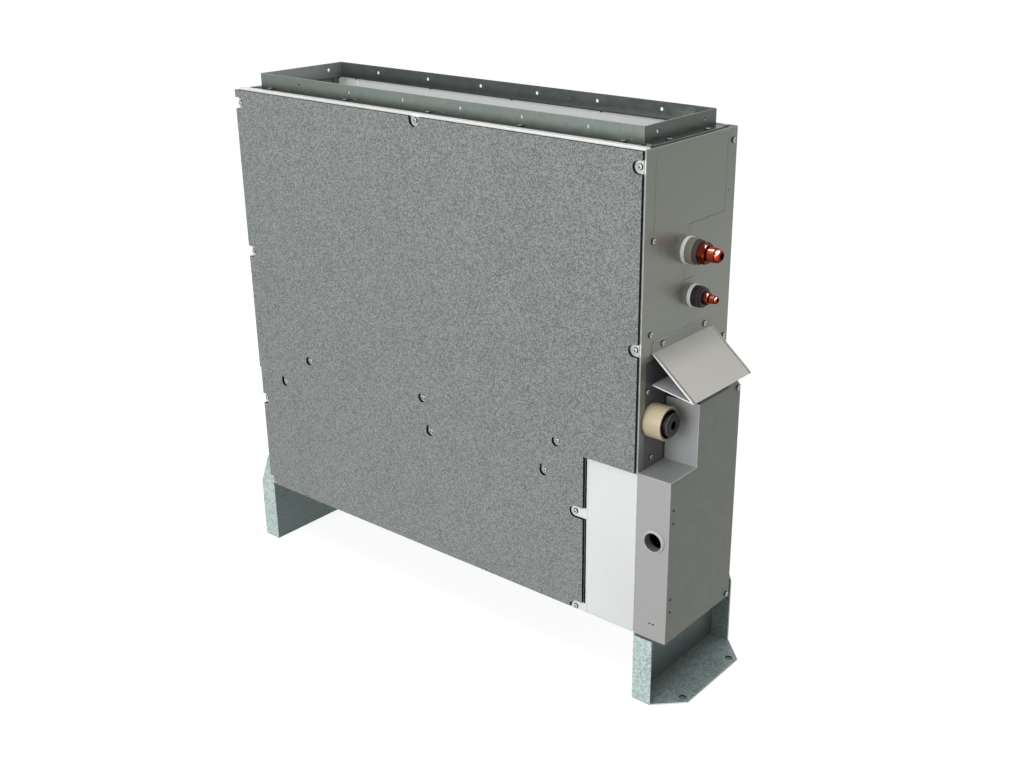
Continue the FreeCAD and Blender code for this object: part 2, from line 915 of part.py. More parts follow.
# Galvanised leg: web, two flanges, a foot with clipped corners and a tall tab at one end.
def leg(side):
    outer = right + leg_flange
    toe = right + foot_reach
    web = block(right, front, 0, right + leg_sheet, back, base)
    foot = prism(
        [
            (right, front, 0),
            (outer, front, 0),
            (toe, front + foot_chamfer, 0),
            (toe, back - foot_chamfer, 0),
            (outer, back, 0),
            (right, back, 0),
        ],
        Vector(0, 0, leg_sheet),
    )
    short_flange = block(right, front, 0, outer, front + leg_sheet, base - short_flange_gap)
    tall = base + tab_rise
    tall_flange = prism(
        [
            (right, back - leg_sheet, 0),
            (outer, back - leg_sheet, 0),
            (outer, back - leg_sheet, base - short_flange_gap),
            (outer - tab_chamfer, back - leg_sheet, tall),
            (right, back - leg_sheet, tall),
        ],
        Vector(0, leg_sheet, 0),
    )
    tab = prism(
        [
            (right, back - tab_width, base - leg_sheet),
            (right, back, base - leg_sheet),
            (right, back, tall),
            (right, back - tab_width / 2, tall),
            (right, back - tab_width, tall - tab_chamfer),
        ],
        Vector(leg_sheet, 0, 0),
    )
    seat = block(right - seat_width, front + tab_width, base - leg_sheet, right, back - tab_width, base)
    body = joined([web, foot, short_flange, tall_flange, tab, seat])
    cuts = []
    for y in (front + foot_hole_in, back - foot_hole_in):
        x = right + foot_hole_out
        cuts.append(rod(x, y, -leg_sheet, foot_hole_radius, 3 * leg_sheet, Vector(0, 0, 1)))
    cuts += screw_holes(leg_screw_points(1), into_side)
    cuts += screw_holes(seat_screw_points(), into_top * -1)
    body = body.cut(cuts)
    if side < 0:
        body.rotate(Vector(0, 0, 0), Vector(0, 0, 1), 180)
    return body


# Outline of the terminal box in the YZ plane: the notch in front and the clipped corner behind.
def box_outline():
    return [
        (front, base),
        (box_back, base),
        (box_back, box_top - box_corner),
        (box_back - box_corner, box_top),
        (notch_back, box_top),
        (notch_back, notch_floor),
        (front, notch_floor),
    ]


# Terminal box shell, folded from sheet and open towards the side plate.
def terminal_box_shell():
    loop = Part.makePolygon([Vector(right, y, z) for y, z in box_outline() + box_outline()[:1]])
    face = Part.Face(loop)
    outer = face.extrude(Vector(box_reach, 0, 0))
    inner = face.makeOffset2D(-sheet, 2).extrude(Vector(box_reach - sheet, 0, 0))
    body = outer.cut(inner)
    grommet_x = right + grommet_out
    cuts = [rod(grommet_x, front - sheet, base + grommet_height, grommet_neck, 3 * sheet, into_front)]
    x0 = box_face - 2 * sheet
    y0 = front + box_hole_inset
    for rise in box_hole_heights:
        cuts.append(rod(x0, y0, base + rise, box_hole_radius, 4 * sheet, Vector(1, 0, 0)))
    for side in (-1, 1):
        x0 = right + grommet_out + side * box_slot_bridge / 2
        x1 = right + grommet_out + side * box_slot_length / 2
        z = base + box_slot_height
        cuts.append(block(min(x0, x1), front - sheet, z, max(x0, x1), front + 2 * sheet, z + box_slot_width))
    cuts += screw_holes(box_screw_points(), into_side)
    return body.cut(cuts)


# Seats of the two screws that hold the terminal box.
def box_screw_points():
    return [
        Vector(box_face, box_back - box_screw_inset, box_top - box_screw_drop),
        Vector(box_face, box_back - box_screw_inset, base + box_screw_rise),
    ]


# Angle bracket inside the terminal box that its screws bite into.
def box_brackets():
    pieces = []
    x1 = box_face - 1.5 * sheet
    y1 = box_back - 1.5 * sheet
    for z in (box_top - box_corner - sheet - bracket_height, base + sheet):
        path = [(x1, y1 - bracket_arm), (x1, y1), (right + bracket_foot_gap, y1)]
        pieces.append(bent_along_z(path, sheet, z, z + bracket_height))
    return Part.makeCompound([piece.cut(screw_holes(box_screw_points(), into_side)) for piece in pieces])


# Rubber grommet in the cable entry.
def cable_grommet():
    x = right + grommet_out
    z = base + grommet_height
    flange = rod(x, front - grommet_lip, z, grommet_radius, grommet_lip, into_front)
    neck = rod(x, front - grommet_lip, z, grommet_neck, grommet_lip + sheet + 2.0, into_front)
    keeper = rod(x, front + sheet, z, grommet_radius - 1.0, 2.0, into_front)
    bore = rod(x, front - 2 * grommet_lip, z, grommet_bore, 4 * grommet_lip + sheet + 2.0, into_front)
    return joined([flange, neck, keeper]).cut(bore)


# Terminal block with a barrier between each pair of screws.
def terminal_block():
    y0 = front + block_front
    z0 = base + block_height
    end = y0 + block_ways * block_pitch + block_barrier
    outline = [(y0, right), (end, right), (end, right + block_depth)]
    for i in range(block_ways, 0, -1):
        near = y0 + i * block_pitch
        far = near - block_pitch + block_barrier
        outline += [(near, right + block_depth), (near, right + block_floor)]
        outline += [(far, right + block_floor), (far, right + block_depth)]
    outline += [(y0, right + block_depth)]
    body = prism([(x, y, z0) for y, x in outline], Vector(0, 0, block_rise))
    screws = []
    for i in range(block_ways):
        y = y0 + block_barrier / 2 + (i + 0.5) * block_pitch
        for z in (z0 + block_rise / 4, z0 + block_rise * 3 / 4):
            x = right + block_floor
            screws.append(rod(x, y, z, block_screw_radius, block_screw_height, Vector(1, 0, 0)))
    return joined([body] + screws)


# The cover's lower ear, with one clipped corner, grown by a clearance where the facing goes round it.
def foot_ear(grown, y, thickness):
    x0 = cover_left - foot_ear_reach - grown
    x1 = cover_left + 2 * sheet
    z0 = cover_bottom - 4 * grown
    z1 = base + foot_ear_height + grown
    corner = foot_ear_corner
    outline = [(x0, z0), (x1, z0), (x1, z1), (x0 + corner, z1), (x0, z1 - corner)]
    return prism([(x, y, z) for x, z in outline], Vector(0, thickness, 0))


# White cover over the control box, with folded returns and two screw ears at its left edge.
def control_box_cover():
    x1 = right - panel_gap / 2
    plate = block(cover_left, front, cover_bottom, x1, front + sheet, cover_top)
    fold_z = base + 1.5 * sheet
    fold = block(cover_left, front, fold_z, cover_left + sheet, front + cover_return, cover_top)
    ledge = block(cover_left, front, cover_top - sheet, right - 3 * sheet, front + cover_return, cover_top)
    ear_x = cover_left - ear_screw_out
    ear_z = base + ear_screw_height
    half = ear_height / 2
    ear = block(ear_x, front - sheet, ear_z - half, cover_left + 2 * sheet, front, ear_z + half)
    ear_end = rod(ear_x, front - sheet, ear_z, half, sheet, into_front)
    body = joined([plate, fold, ledge, ear, ear_end, foot_ear(0.0, front - sheet, sheet)])
    return body.cut(screw_holes(on_front(cover_places, front), into_front))


# Steel tray of the control box, open to the front.
def control_box_housing():
    x0 = cover_left + 2 * sheet
    x1 = right - 2 * sheet - panel_gap
    y0 = front + 1.5 * sheet
    y1 = front + housing_depth
    z0 = base + sheet
    z1 = cover_top - 2 * sheet
    outer = block(x0, y0, z0, x1, y1, z1)
    inner = block(x0 + sheet, y0 - sheet, z0 + sheet, x1 - sheet, y1 - sheet, z1 - sheet)
    y2 = front + cable_slot_front
    z2 = base + cable_slot_height
    cable_slot = block(x1 - 2 * sheet, y2, z2, x1 + sheet, y2 + cable_slot_width, z2 + cable_slot_rise)
    return outer.cut([inner, cable_slot] + screw_holes(seat_screw_points(), into_top * -1))


# Edges of the circuit board: left, right, bottom, top, and its front face.
def board_edges():
    x0 = cover_left + 2 * sheet + board_side_gap
    x1 = right - 2 * sheet - panel_gap - board_side_gap
    z0 = base + sheet + board_end_gap
    z1 = cover_top - 2 * sheet - board_end_gap
    face = front + housing_depth - sheet - board_standoff - board_thickness
    return x0, x1, z0, z1, face


# Circuit board on four posts inside the control box.
def circuit_board():
    x0, x1, z0, z1, face = board_edges()
    board = block(x0, face, z0, x1, face + board_thickness, z1)
    posts = []
    for x in (x0 + board_post_inset, x1 - board_post_inset):
        for z in (z0 + board_post_inset, z1 - board_post_inset):
            posts.append(rod(x, face + board_thickness, z, board_post_radius, board_standoff, into_front))
    return joined([board] + posts)


# The taller parts on the board: capacitors, relays, plug rows and a heat sink.
def board_components():
    x0, x1, z0, z1, face = board_edges()
    pieces = []
    for i, j in ((0, 0), (1, 0), (0, 1)):
        x = x0 + capacitor_inset + i * capacitor_pitch
        z = z0 + capacitor_inset + j * capacitor_pitch
        pieces.append(rod(x, face - capacitor_height, z, capacitor_radius, capacitor_height, into_front))
    for i in range(3):
        z = z0 + relay_start + i * relay_pitch
        x = x0 + board_post_inset
        pieces.append(block(x, face - relay_side, z, x + relay_side, face, z + relay_side))
        z = z0 + relay_start + i * plug_pitch
        x = x1 - plug_inset
        pieces.append(block(x, face - plug_width, z, x + plug_width, face, z + plug_length))
    sink_x = x0 + board_post_inset
    sink_z = z1 - board_end_gap - sink_length
    sink_width = (sink_fins - 1) * sink_fin_pitch + sink_fin
    fins = [block(sink_x, face - sink_base, sink_z, sink_x + sink_width, face, sink_z + sink_length)]
    for i in range(sink_fins):
        x = sink_x + i * sink_fin_pitch
        fins.append(block(x, face - sink_height, sink_z, x + sink_fin, face, sink_z + sink_length))
    pieces.append(joined(fins))
    return Part.makeCompound(pieces)


# Bent drip hood over the drain and the box, with hemmed sides.
def drip_hood():
    half = sheet / 2
    nose = (right + hood_reach, hood_bend - hood_drop)
    wall = right + hood_wall_gap
    path = [
        (right + half, hood_bend + hood_flange),
        (right + half, hood_bend),
        nose,
        (wall, hood_bend - hood_return_drop),
    ]
    slope = math.atan2(hood_drop, hood_reach)
    lift_x = math.sin(slope) * sheet * 0.75
    lift_z = math.cos(slope) * sheet * 0.75
    fall = hood_drop / hood_reach
    hem_path = [
        (right + hood_hem_gap + lift_x, hood_bend - hood_hem_gap * fall + lift_z),
        (nose[0] - sheet + lift_x, nose[1] + sheet * fall + lift_z),
    ]
    pieces = [bent_along_y(path, sheet, hood_front, hood_back)]
    for y in (hood_front, hood_back - hood_side_hem):
        pieces.append(bent_along_y(hem_path, sheet / 2, y, y + hood_side_hem))
    body = joined(pieces)
    top_edge = hood_bend + hood_flange
    body = body.cut(corner_cutter(hood_front, top_edge, hood_corner, 1))
    body = body.cut(corner_cutter(hood_back, top_edge, hood_corner, -1))
    return body.cut(screw_holes(on_side(hood_screws, right + sheet), into_side))


# A wedge that rounds one upper corner of the hood's flange.
def corner_cutter(y, z, radius, inward):
    y0 = min(y - inward, y + inward * radius)
    y1 = max(y - inward, y + inward * radius)
    square = block(right - sheet, y0, z - radius, right + 2 * sheet, y1, z + 1.0)
    centre_y = y + inward * radius
    return square.cut(rod(right - 2 * sheet, centre_y, z - radius, radius, 5 * sheet, Vector(1, 0, 0)))


# Recessed plate behind the side plate's window, with the hole for the drain socket.
def drain_window_plate():
    x1 = right - sheet
    y0 = front + hem_depth
    y1 = front + window_front + window_depth + window_lap
    z0 = notch_floor - window_below - window_lap
    z1 = hood_bend - window_above + window_lap
    body = block(x1 - sheet, y0, z0, x1, y1, z1)
    cuts = [rod(x1 - 2 * sheet, drain_y, drain_z, socket_neck + socket_gap, 4 * sheet, Vector(1, 0, 0))]
    cuts += screw_holes(on_side(window_screws, x1), into_side)
    y2 = front + post_depth + 2 * sheet
    post_relief = block(right - 3 * sheet, front, base, right - 2 * sheet, y2, top)
    return body.cut(cuts + [post_relief])


# Drain pan under the coil, moulded with feet that stand on the fan deck.
def drain_pan():
    outer = block(pan_left, pan_front, pan_floor, pan_right, pan_back, pan_top)
    inner = block(
        pan_left + pan_wall,
        pan_front + pan_wall,
        pan_floor + pan_wall,
        pan_right - pan_wall,
        pan_back - pan_wall,
        pan_top + pan_wall,
    )
    feet = []
    span = pan_right - pan_left - 2 * pan_foot_length
    for i in range(3):
        x = pan_left + pan_foot_length / 2 + i * span / 2
        for y in (pan_front + pan_foot_inset, pan_back - pan_foot_inset - pan_foot_width):
            feet.append(block(x, y, deck + sheet, x + pan_foot_length, y + pan_foot_width, pan_floor))
    outlet = rod(pan_right - 2 * pan_wall, drain_y, drain_z, socket_bore, 3 * pan_wall, Vector(1, 0, 0))
    return joined([outer.cut(inner)] + feet).cut(outlet)


# Beige drain socket that comes out of the pan through the side of the cabinet.
def drain_socket():
    shoulder = right - sheet
    mouth = right + socket_out
    neck = rod(pan_right, drain_y, drain_z, socket_neck, shoulder - pan_right, Vector(1, 0, 0))
    tube = rod(shoulder, drain_y, drain_z, socket_radius, mouth - shoulder, Vector(1, 0, 0))
    bead = rod(pan_right, drain_y, drain_z, socket_neck + socket_bead, socket_bead_length, Vector(1, 0, 0))
    bore = rod(pan_right - 1.0, drain_y, drain_z, socket_bore, mouth - pan_right + 2.0, Vector(1, 0, 0))
    body = joined([neck, tube, bead]).cut(bore)
    return body.makeChamfer(socket_chamfer, [edge for edge in body.Edges if is_rim(edge)])


# The outer edge of the drain socket's mouth.
def is_rim(edge):
    box = edge.BoundBox
    at_mouth = abs(box.XMin - (right + socket_out)) < 0.01 and box.XLength < 0.01
    return at_mouth and box.YLength > 2 * socket_bore + 1.0


# Rubber plug pushed into the drain socket.
def drain_plug():
    x0 = right + plug_in
    x1 = right + plug_out
    outline = [
        (x0, 0.0),
        (x0, socket_bore),
        (x0 + plug_grip, socket_bore),
        (x0 + plug_grip + plug_edge, plug_radius),
        (x1 - plug_edge, plug_radius),
        (x1, plug_radius - plug_edge),
        (x1, plug_hole),
        (x1 - plug_recess, plug_hole),
        (x1 - plug_recess, 0.0),
    ]
    return turned(outline, drain_y, drain_z)


# White ring where a pipe leaves the side plate.
def pipe_ring(y, z, radius, sleeve_radius):
    return turned(
        [
            (right, sleeve_radius),
            (right, radius - ring_edge),
            (right + ring_edge, radius),
            (right + ring_thickness - ring_edge, radius),
            (right + ring_thickness, radius - ring_edge),
            (right + ring_thickness, sleeve_radius),
        ],
        y,
        z,
    )


# Foam or rubber sleeve round a pipe, from inside the cabinet to the union, with a cap at its end.
def pipe_sleeve(y, z, radius, inner_radius, hole_radius, end, cap):
    x0 = right - sheet - sleeve_inside
    x1 = end - cap
    low = radius - sleeve_step
    return turned(
        [
            (x0, inner_radius),
            (x0, hole_radius),
            (right, hole_radius),
            (right, radius),
            (x1 - sleeve_step, radius),
            (x1, low),
            (end - sleeve_edge, low),
            (end, low - sleeve_edge),
            (end, inner_radius),
        ],
        y,
        z,
    )


# Flare union: hexagon, threaded barrel, a groove and a domed nose, bored through.
def flare_union(x0, y, z, hexagon, thread, bore, pipe_radius, lengths):
    hex_end = x0 + lengths[0]
    thread_end = hex_end + lengths[1]
    nose_end = thread_end + lengths[2]
    corner = hexagon / math.sqrt(3)
    angles = [math.radians(60 * i) for i in range(6)]
    points = [(x0, y + corner * math.cos(angle), z + corner * math.sin(angle)) for angle in angles]
    nut = prism(points, Vector(lengths[0], 0, 0))
    low = corner - hex_chamfer
    outline = [(x0, 0.0), (x0, low), (x0 + hex_chamfer, corner)]
    outline += [(hex_end - hex_chamfer, corner), (hex_end, low), (hex_end, 0.0)]
    round_off = turned(outline, y, z)
    reach = nose_end - thread_end - nose_start
    fall = thread - nose_start - bore - nose_rim
    arc = [math.radians(90 * i / dome_steps) for i in range(1, dome_steps + 1)]
    dome = [
        (thread_end + nose_start + reach * math.sin(a), thread - nose_start - fall * (1 - math.cos(a)))
        for a in arc
    ]
    barrel = turned(
        [
            (hex_end - 1.0, 0.0),
            (hex_end - 1.0, thread - thread_relief),
            (hex_end + thread_relief, thread - thread_relief),
            (hex_end + 1.3 * thread_relief, thread),
            (thread_end - thread_chamfer, thread),
            (thread_end, thread - thread_chamfer),
            (thread_end, thread - nose_groove),
            (thread_end + nose_start, thread - nose_groove),
            (thread_end + nose_start, thread - nose_start),
        ]
        + dome
        + [(nose_end, 0.0)],
        y,
        z,
    )
    hole = rod(x0 - 1.0, y, z, bore, nose_end - x0 + 2.0, Vector(1, 0, 0))
    socket = rod(x0 - 1.0, y, z, pipe_radius, lengths[0] * union_socket + 1.0, Vector(1, 0, 0))
    return joined([nut.common(round_off), barrel]).cut([hole, socket])


# Point on the coil, measured along its slope and across its thickness.
def coil_point(along, across):
    lean = math.radians(coil_lean)
    foot_z = pan_floor + pan_wall + coil_thickness / 2 * math.sin(lean)
    y = front + coil_foot_back + along * math.sin(lean) + across * math.cos(lean)
    z = foot_z + along * math.cos(lean) - across * math.sin(lean)
    return y, z


# Finned block of the coil, grooved on both faces between the fins.
def coil_fins():
    count = round((coil_length - fin_thickness) / fin_pitch)
    pitch = (coil_length - fin_thickness) / count
    half = coil_thickness / 2
    near = []
    far = []
    for i in range(count + 1):
        x = coil_left + i * pitch
        near += [(x, -half), (x + fin_thickness, -half)]
        far += [(x, half), (x + fin_thickness, half)]
        if i < count:
            near += [(x + fin_thickness, fin_depth - half), (x + pitch, fin_depth - half)]
            far += [(x + fin_thickness, half - fin_depth), (x + pitch, half - fin_depth)]
    outline = near + far[::-1]
    points = []
    for x, across in outline:
        y, z = coil_point(coil_edge, across)
        points.append((x, y, z))
    up = coil_point(coil_height - coil_edge, 0.0)
    down = coil_point(coil_edge, 0.0)
    return prism(points, Vector(0, up[0] - down[0], up[1] - down[1]))


# Sheet that closes one end of the coil and holds it to the back of the cabinet.
def coil_end_plate(x):
    half = coil_thickness / 2 + coil_edge
    rear = back - sheet - liner
    upper = coil_point(coil_height, half)
    corners = [coil_point(coil_edge, coil_edge - half), coil_point(0.0, half - coil_edge)]
    corners += [coil_point(coil_lug_start, half), (rear, upper[1] - coil_lug_height), (rear, upper[1])]
    corners += [coil_point(coil_height, half), coil_point(coil_height, -half)]
    return prism([(x, y, z) for y, z in corners], Vector(end_plate, 0, 0))


# Hairpin bends that join the coil's tubes two by two at one end.
def return_bends(x, outward, first, count):
    bends = []
    for i in range(count):
        along = first + 2 * i * tube_pitch
        y0, z0 = coil_point(along, 0.0)
        y1, z1 = coil_point(along + tube_pitch, 0.0)
        out = tube_pitch / 2
        start = Vector(x, y0, z0)
        end = Vector(x, y1, z1)
        middle = (start + end) * 0.5 + Vector(outward * (out + bend_lead), 0, 0)
        leg_out = Vector(outward * bend_lead, 0, 0)
        spine = Part.Wire(
            [
                Part.LineSegment(start, start + leg_out).toShape(),
                Part.Arc(start + leg_out, middle, end + leg_out).toShape(),
                Part.LineSegment(end + leg_out, end).toShape(),
            ]
        )
        ring = Part.Wire(Part.makeCircle(tube_radius, start, Vector(outward, 0, 0)))
        bends.append(spine.makePipeShell([ring], True, False))
    return bends


# Distance up the coil's slope at which its header reaches a given height.
def header_along(z):
    foot = coil_point(0.0, header_across)[1]
    return (z - foot) / math.cos(math.radians(coil_lean))


# The header that gathers the gas from the coil, with two stubs into the end plate.
def gas_header():
    x_face = coil_right + end_plate
    x = x_face + header_gap
    middle = header_along(gas_z)
    low = coil_point(middle - header_length / 2, header_across)
    high = coil_point(middle + header_length / 2, header_across)
    axis = Vector(0, high[0] - low[0], high[1] - low[1])
    barrel = Part.makeCylinder(header_radius, axis.Length, Vector(x, low[0], low[1]), axis)
    stubs = []
    for along in (middle - tube_pitch, middle + tube_pitch):
        y, z = coil_point(along, header_across)
        stubs.append(rod(x_face, y, z, tube_radius, header_gap, Vector(1, 0, 0)))
    return joined([barrel] + stubs)


# Copper gas pipe from the header to the union.
def gas_pipe():
    start = coil_right + end_plate + header_gap + header_radius
    y = coil_point(header_along(gas_z), header_across)[0]
    knee = start + 3.0 * gas_pipe_radius
    end = gas_union_x + hex_length * union_socket
    points = [(start, y, gas_z), (knee, y, gas_z), (knee, gas_y, gas_z), (end, gas_y, gas_z)]
    return pipe(points, 2.5 * gas_pipe_radius, gas_pipe_radius, gas_pipe_radius - pipe_wall)


# Copper liquid pipe from the valve to the union.
def liquid_pipe():
    end = liquid_union_x + small_hex_length * union_socket
    start = valve_x() + valve_outlet
    body = rod(start, liquid_y, liquid_z, liquid_pipe_radius, end - start, Vector(1, 0, 0))
    bore = liquid_pipe_radius - pipe_wall
    return body.cut(rod(start - 1.0, liquid_y, liquid_z, bore, end - start + 2.0, Vector(1, 0, 0)))


# The valve stands on the liquid line, between the coil and the side plate.
def valve_x():
    return (coil_right + right) / 2 - valve_offset


# Capillary that feeds the coil from the valve.
def feed_pipe():
    x0 = coil_right + end_plate
    y, z = coil_point(feed_along, 0.0)
    x1 = valve_x()
    points = [(x0, y, z), (x1, y, z), (x1, liquid_y, z), (x1, liquid_y, liquid_z - valve_half_height)]
    return pipe(points, 2.5 * liquid_pipe_radius, liquid_pipe_radius, liquid_pipe_radius - pipe_wall)


# Body of the electronic expansion valve.
def expansion_valve_body():
    x = valve_x()
    low = liquid_z - valve_half_height
    high = liquid_z + valve_half_height
    barrel = rod(x, liquid_y, low, valve_radius, high - low, Vector(0, 0, 1))
    neck = rod(x, liquid_y, high, valve_neck_radius, valve_neck_rise, Vector(0, 0, 1))
    outlet = rod(x, liquid_y, liquid_z, valve_outlet_radius, valve_outlet, Vector(1, 0, 0))
    return joined([barrel, neck, outlet])


# Stepper coil that slips over the valve's neck.
def expansion_valve_coil():
    x = valve_x()
    low = liquid_z + valve_half_height + valve_can_gap
    can = rod(x, liquid_y, low, valve_can_radius, valve_can_height, Vector(0, 0, 1))
    hole = rod(x, liquid_y, low - valve_can_gap, valve_neck_radius, 2 * valve_can_height, Vector(0, 0, 1))
    return can.cut(hole)


# Pale foam lining on the back wall of the coil chamber.
def back_liner():
    y1 = back - sheet
    body = block(left + 2 * sheet, y1 - liner, deck + sheet, right - 2 * sheet, y1, top - 2 * sheet)
    cuts = []
    for rise in bead_heights:
        z = base + rise
        half = bead_width / 2 + 1.0
        start = left + bead_inset - 1.0
        cuts.append(block(start, y1 - bead_depth - 0.4, z - half, -start, y1 + 1.0, z + half))
    joint = left + liner_joint
    cuts.append(block(joint, y1 - 2 * liner, deck, joint + liner_joint_width, y1 - liner / 2, top))
    return body.cut(cuts)


# Deck between the fan chamber and the coil chamber, with a flange and three screw tongues in front.
def fan_deck():
    x0 = left + 2 * sheet
    x1 = right - 2 * sheet
    y0 = front + sheet
    y1 = back - sheet
    plate = block(x0, y0, deck, x1, y1, deck + sheet)
    flange = block(left + 2 * post_face, y0, deck - deck_flange, right - 2 * post_face, y0 + sheet, deck)
    pieces = [plate, flange]
    for x, z in tongue_screws:
        x0 = x - tongue_half_width
        pieces.append(block(x0, y0, z - tongue_end, x0 + 2 * tongue_half_width, y0 + sheet, deck))
    body = joined(pieces)
    cuts = []
    for side in (-1, 1):
        outer = side * cabinet_width / 2
        inner = side * (cabinet_width / 2 - post_face - 4 * sheet)
        x0 = min(outer, inner)
        x1 = max(outer, inner)
        cuts.append(block(x0, y0 - sheet, deck - 1.0, x1, y0 + post_depth + 3 * sheet, deck + 2.0))
        ret = side * (cabinet_width / 2 - 3 * sheet)
        x0 = min(outer, ret)
        x1 = max(outer, ret)
        cuts.append(block(x0, back - back_return - sheet, deck - 1.0, x1, back, deck + 2.0))
    y_in, y_out = outlet_span()
    for x in fan_centres:
        half = casing_width / 2 - sheet
        cuts.append(block(x - half, y_in, deck - 1.0, x + half, y_out, deck + 2.0))
    body = body.cut(cuts)
    return body.cut(screw_holes(on_front(deck_screws + tongue_screws, front), into_front))


# Centre and radius of each quarter of the scroll, from the tongue round to the outlet.
def scroll_arcs(extra):
    half = scroll_step / 2
    return [
        (fan_y - half, fan_z - half, scroll_radius + extra),
        (fan_y + half, fan_z - half, scroll_radius + scroll_step + extra),
        (fan_y + half, fan_z + half, scroll_radius + 2 * scroll_step + extra),
    ]


# Inner and outer edge of the outlet, measured along Y.
def outlet_span():
    arcs = scroll_arcs(0.0)
    y_in = arcs[0][0] + arcs[0][2] * math.cos(math.radians(tongue_angle))
    return y_in, arcs[2][0] + arcs[2][2]


# Closed outline of the scroll, grown outwards by the sheet's thickness for its outside.
def scroll_face(x, extra, z_top):
    a, b, c = scroll_arcs(extra)
    y_in = outlet_span()[0] - extra
    y_out = outlet_span()[1] + extra
    start_z = a[1] + math.sqrt(a[2] ** 2 - (y_in - a[0]) ** 2)

    def at(arc, degrees):
        angle = math.radians(degrees)
        return Vector(x, arc[0] + arc[2] * math.cos(angle), arc[1] + arc[2] * math.sin(angle))

    start = Vector(x, y_in, start_z)
    end = at(c, 360)
    corner_out = Vector(x, y_out, z_top)
    corner_in = Vector(x, y_in, z_top)
    edges = [
        Part.Arc(start, at(a, 125), at(a, 180)).toShape(),
        Part.Arc(at(b, 180), at(b, 225), at(b, 270)).toShape(),
        Part.Arc(at(c, 270), at(c, 315), end).toShape(),
        Part.LineSegment(end, corner_out).toShape(),
        Part.LineSegment(corner_out, corner_in).toShape(),
        Part.LineSegment(corner_in, start).toShape(),
    ]
    return Part.Face(Part.Wire(edges))


# Scroll casing of one fan, with an inlet in each side and a flange under the deck.
def scroll_casing(centre):
    x0 = centre - casing_width / 2
    outer = scroll_face(x0, sheet, deck).extrude(Vector(casing_width, 0, 0))
    inner = scroll_face(x0 + sheet, 0.0, deck + 1.0).extrude(Vector(casing_width - 2 * sheet, 0, 0))
    y_in, y_out = outlet_span()
    edge = outlet_flange + sheet
    x1 = x0 + casing_width + outlet_flange
    flange = block(x0 - outlet_flange, y_in - edge, deck - sheet, x1, y_out + edge, deck)
    hole = inlet_radius + inlet_clearance
    inlets = rod(x0 - 1.0, fan_y, fan_z, hole, casing_width + 2.0, Vector(1, 0, 0))
    return joined([outer, flange]).cut([inner, inlets])


# Flared inlet rings, one on each side of both casings.
def inlet_rings():
    rings = []
    for centre in fan_centres:
        for side in (-1, 1):
            wall = centre + side * casing_width / 2
            outline = [
                (wall, inlet_radius + inlet_flange),
                (wall + side * sheet, inlet_radius + inlet_flange),
                (wall + side * sheet, inlet_radius + inlet_flare),
                (wall - side * sheet, inlet_radius),
                (wall - side * inlet_throat, inlet_radius - inlet_wall),
                (wall - side * inlet_throat, inlet_radius),
                (wall - side * sheet, inlet_radius + inlet_wall),
                (wall, inlet_radius + inlet_clearance),
            ]
            rings.append(turned(outline, fan_y, fan_z))
    return Part.makeCompound(rings)


# One forward-curved blade, as a thin arc between the two blade radii.
def blade(x0, x1):
    lean = math.radians(blade_lean)
    start = Vector(x0, blade_inner_radius, 0)
    end = Vector(x0, blade_outer_radius * math.cos(lean), blade_outer_radius * math.sin(lean))
    chord = (end - start).normalize()
    across = Vector(0, chord.z, -chord.y)
    middle = (start + end) * 0.5 + across * blade_bow
    offset = across * (blade_thickness / 2)
    outline = Part.Wire(
        [
            Part.Arc(start + offset, middle + offset, end + offset).toShape(),
            Part.LineSegment(end + offset, end - offset).toShape(),
            Part.Arc(end - offset, middle - offset, start - offset).toShape(),
            Part.LineSegment(start - offset, start + offset).toShape(),
        ]
    )
    return Part.Face(outline).extrude(Vector(x1 - x0, 0, 0))


# Fan wheel open at both sides: blades round a middle disc, with an end ring at each side.
def impeller(centre):
    x0 = centre - casing_width / 2 + impeller_gap
    x1 = centre + casing_width / 2 - impeller_gap
    origin = Vector(0, 0, 0)
    axis = Vector(1, 0, 0)
    pieces = []
    for x in (x0, x1 - impeller_ring_length):
        ring = rod(x, 0, 0, impeller_radius, impeller_ring_length, axis)
        hole = rod(x - 1.0, 0, 0, impeller_radius - impeller_ring, impeller_ring_length + 2.0, axis)
        pieces.append(ring.cut(hole))
    pieces.append(rod(centre - disc_thickness / 2, 0, 0, blade_outer_radius - 0.5, disc_thickness, axis))
    pieces.append(rod(centre - hub_length / 2, 0, 0, hub_radius, hub_length, axis))
    first = blade(x0 + 0.2, x1 - 0.2)
    for i in range(blade_count):
        copy = first.copy()
        copy.rotate(origin, axis, 360.0 * i / blade_count)
        pieces.append(copy)
    body = joined(pieces)
    body = body.cut(rod(centre - hub_length, 0, 0, shaft_radius, 2 * hub_length, axis))
    body.translate(Vector(0, fan_y, fan_z))
    return body


# Steel shaft through the motor and both wheels.
def fan_shaft():
    overhang = hub_length / 2 + shaft_overhang
    x0 = fan_centres[0] - overhang
    x1 = fan_centres[1] + overhang
    return rod(x0, fan_y, fan_z, shaft_radius, x1 - x0, Vector(1, 0, 0))


# Rotor pressed on the shaft inside the motor.
def motor_rotor():
    half = motor_length / 2 - rotor_inset
    return turned(
        [
            (motor_x - half, shaft_radius),
            (motor_x - half, rotor_radius),
            (motor_x + half, rotor_radius),
            (motor_x + half, shaft_radius),
        ],
        fan_y,
        fan_z,
    )


# Ring of laminations and windings round the rotor.
def motor_stator():
    half = motor_length / 2 - stator_inset
    inner = rotor_radius + air_gap
    return turned(
        [
            (motor_x - half, inner),
            (motor_x - half, motor_radius - motor_wall),
            (motor_x + half, motor_radius - motor_wall),
            (motor_x + half, inner),
        ],
        fan_y,
        fan_z,
    )


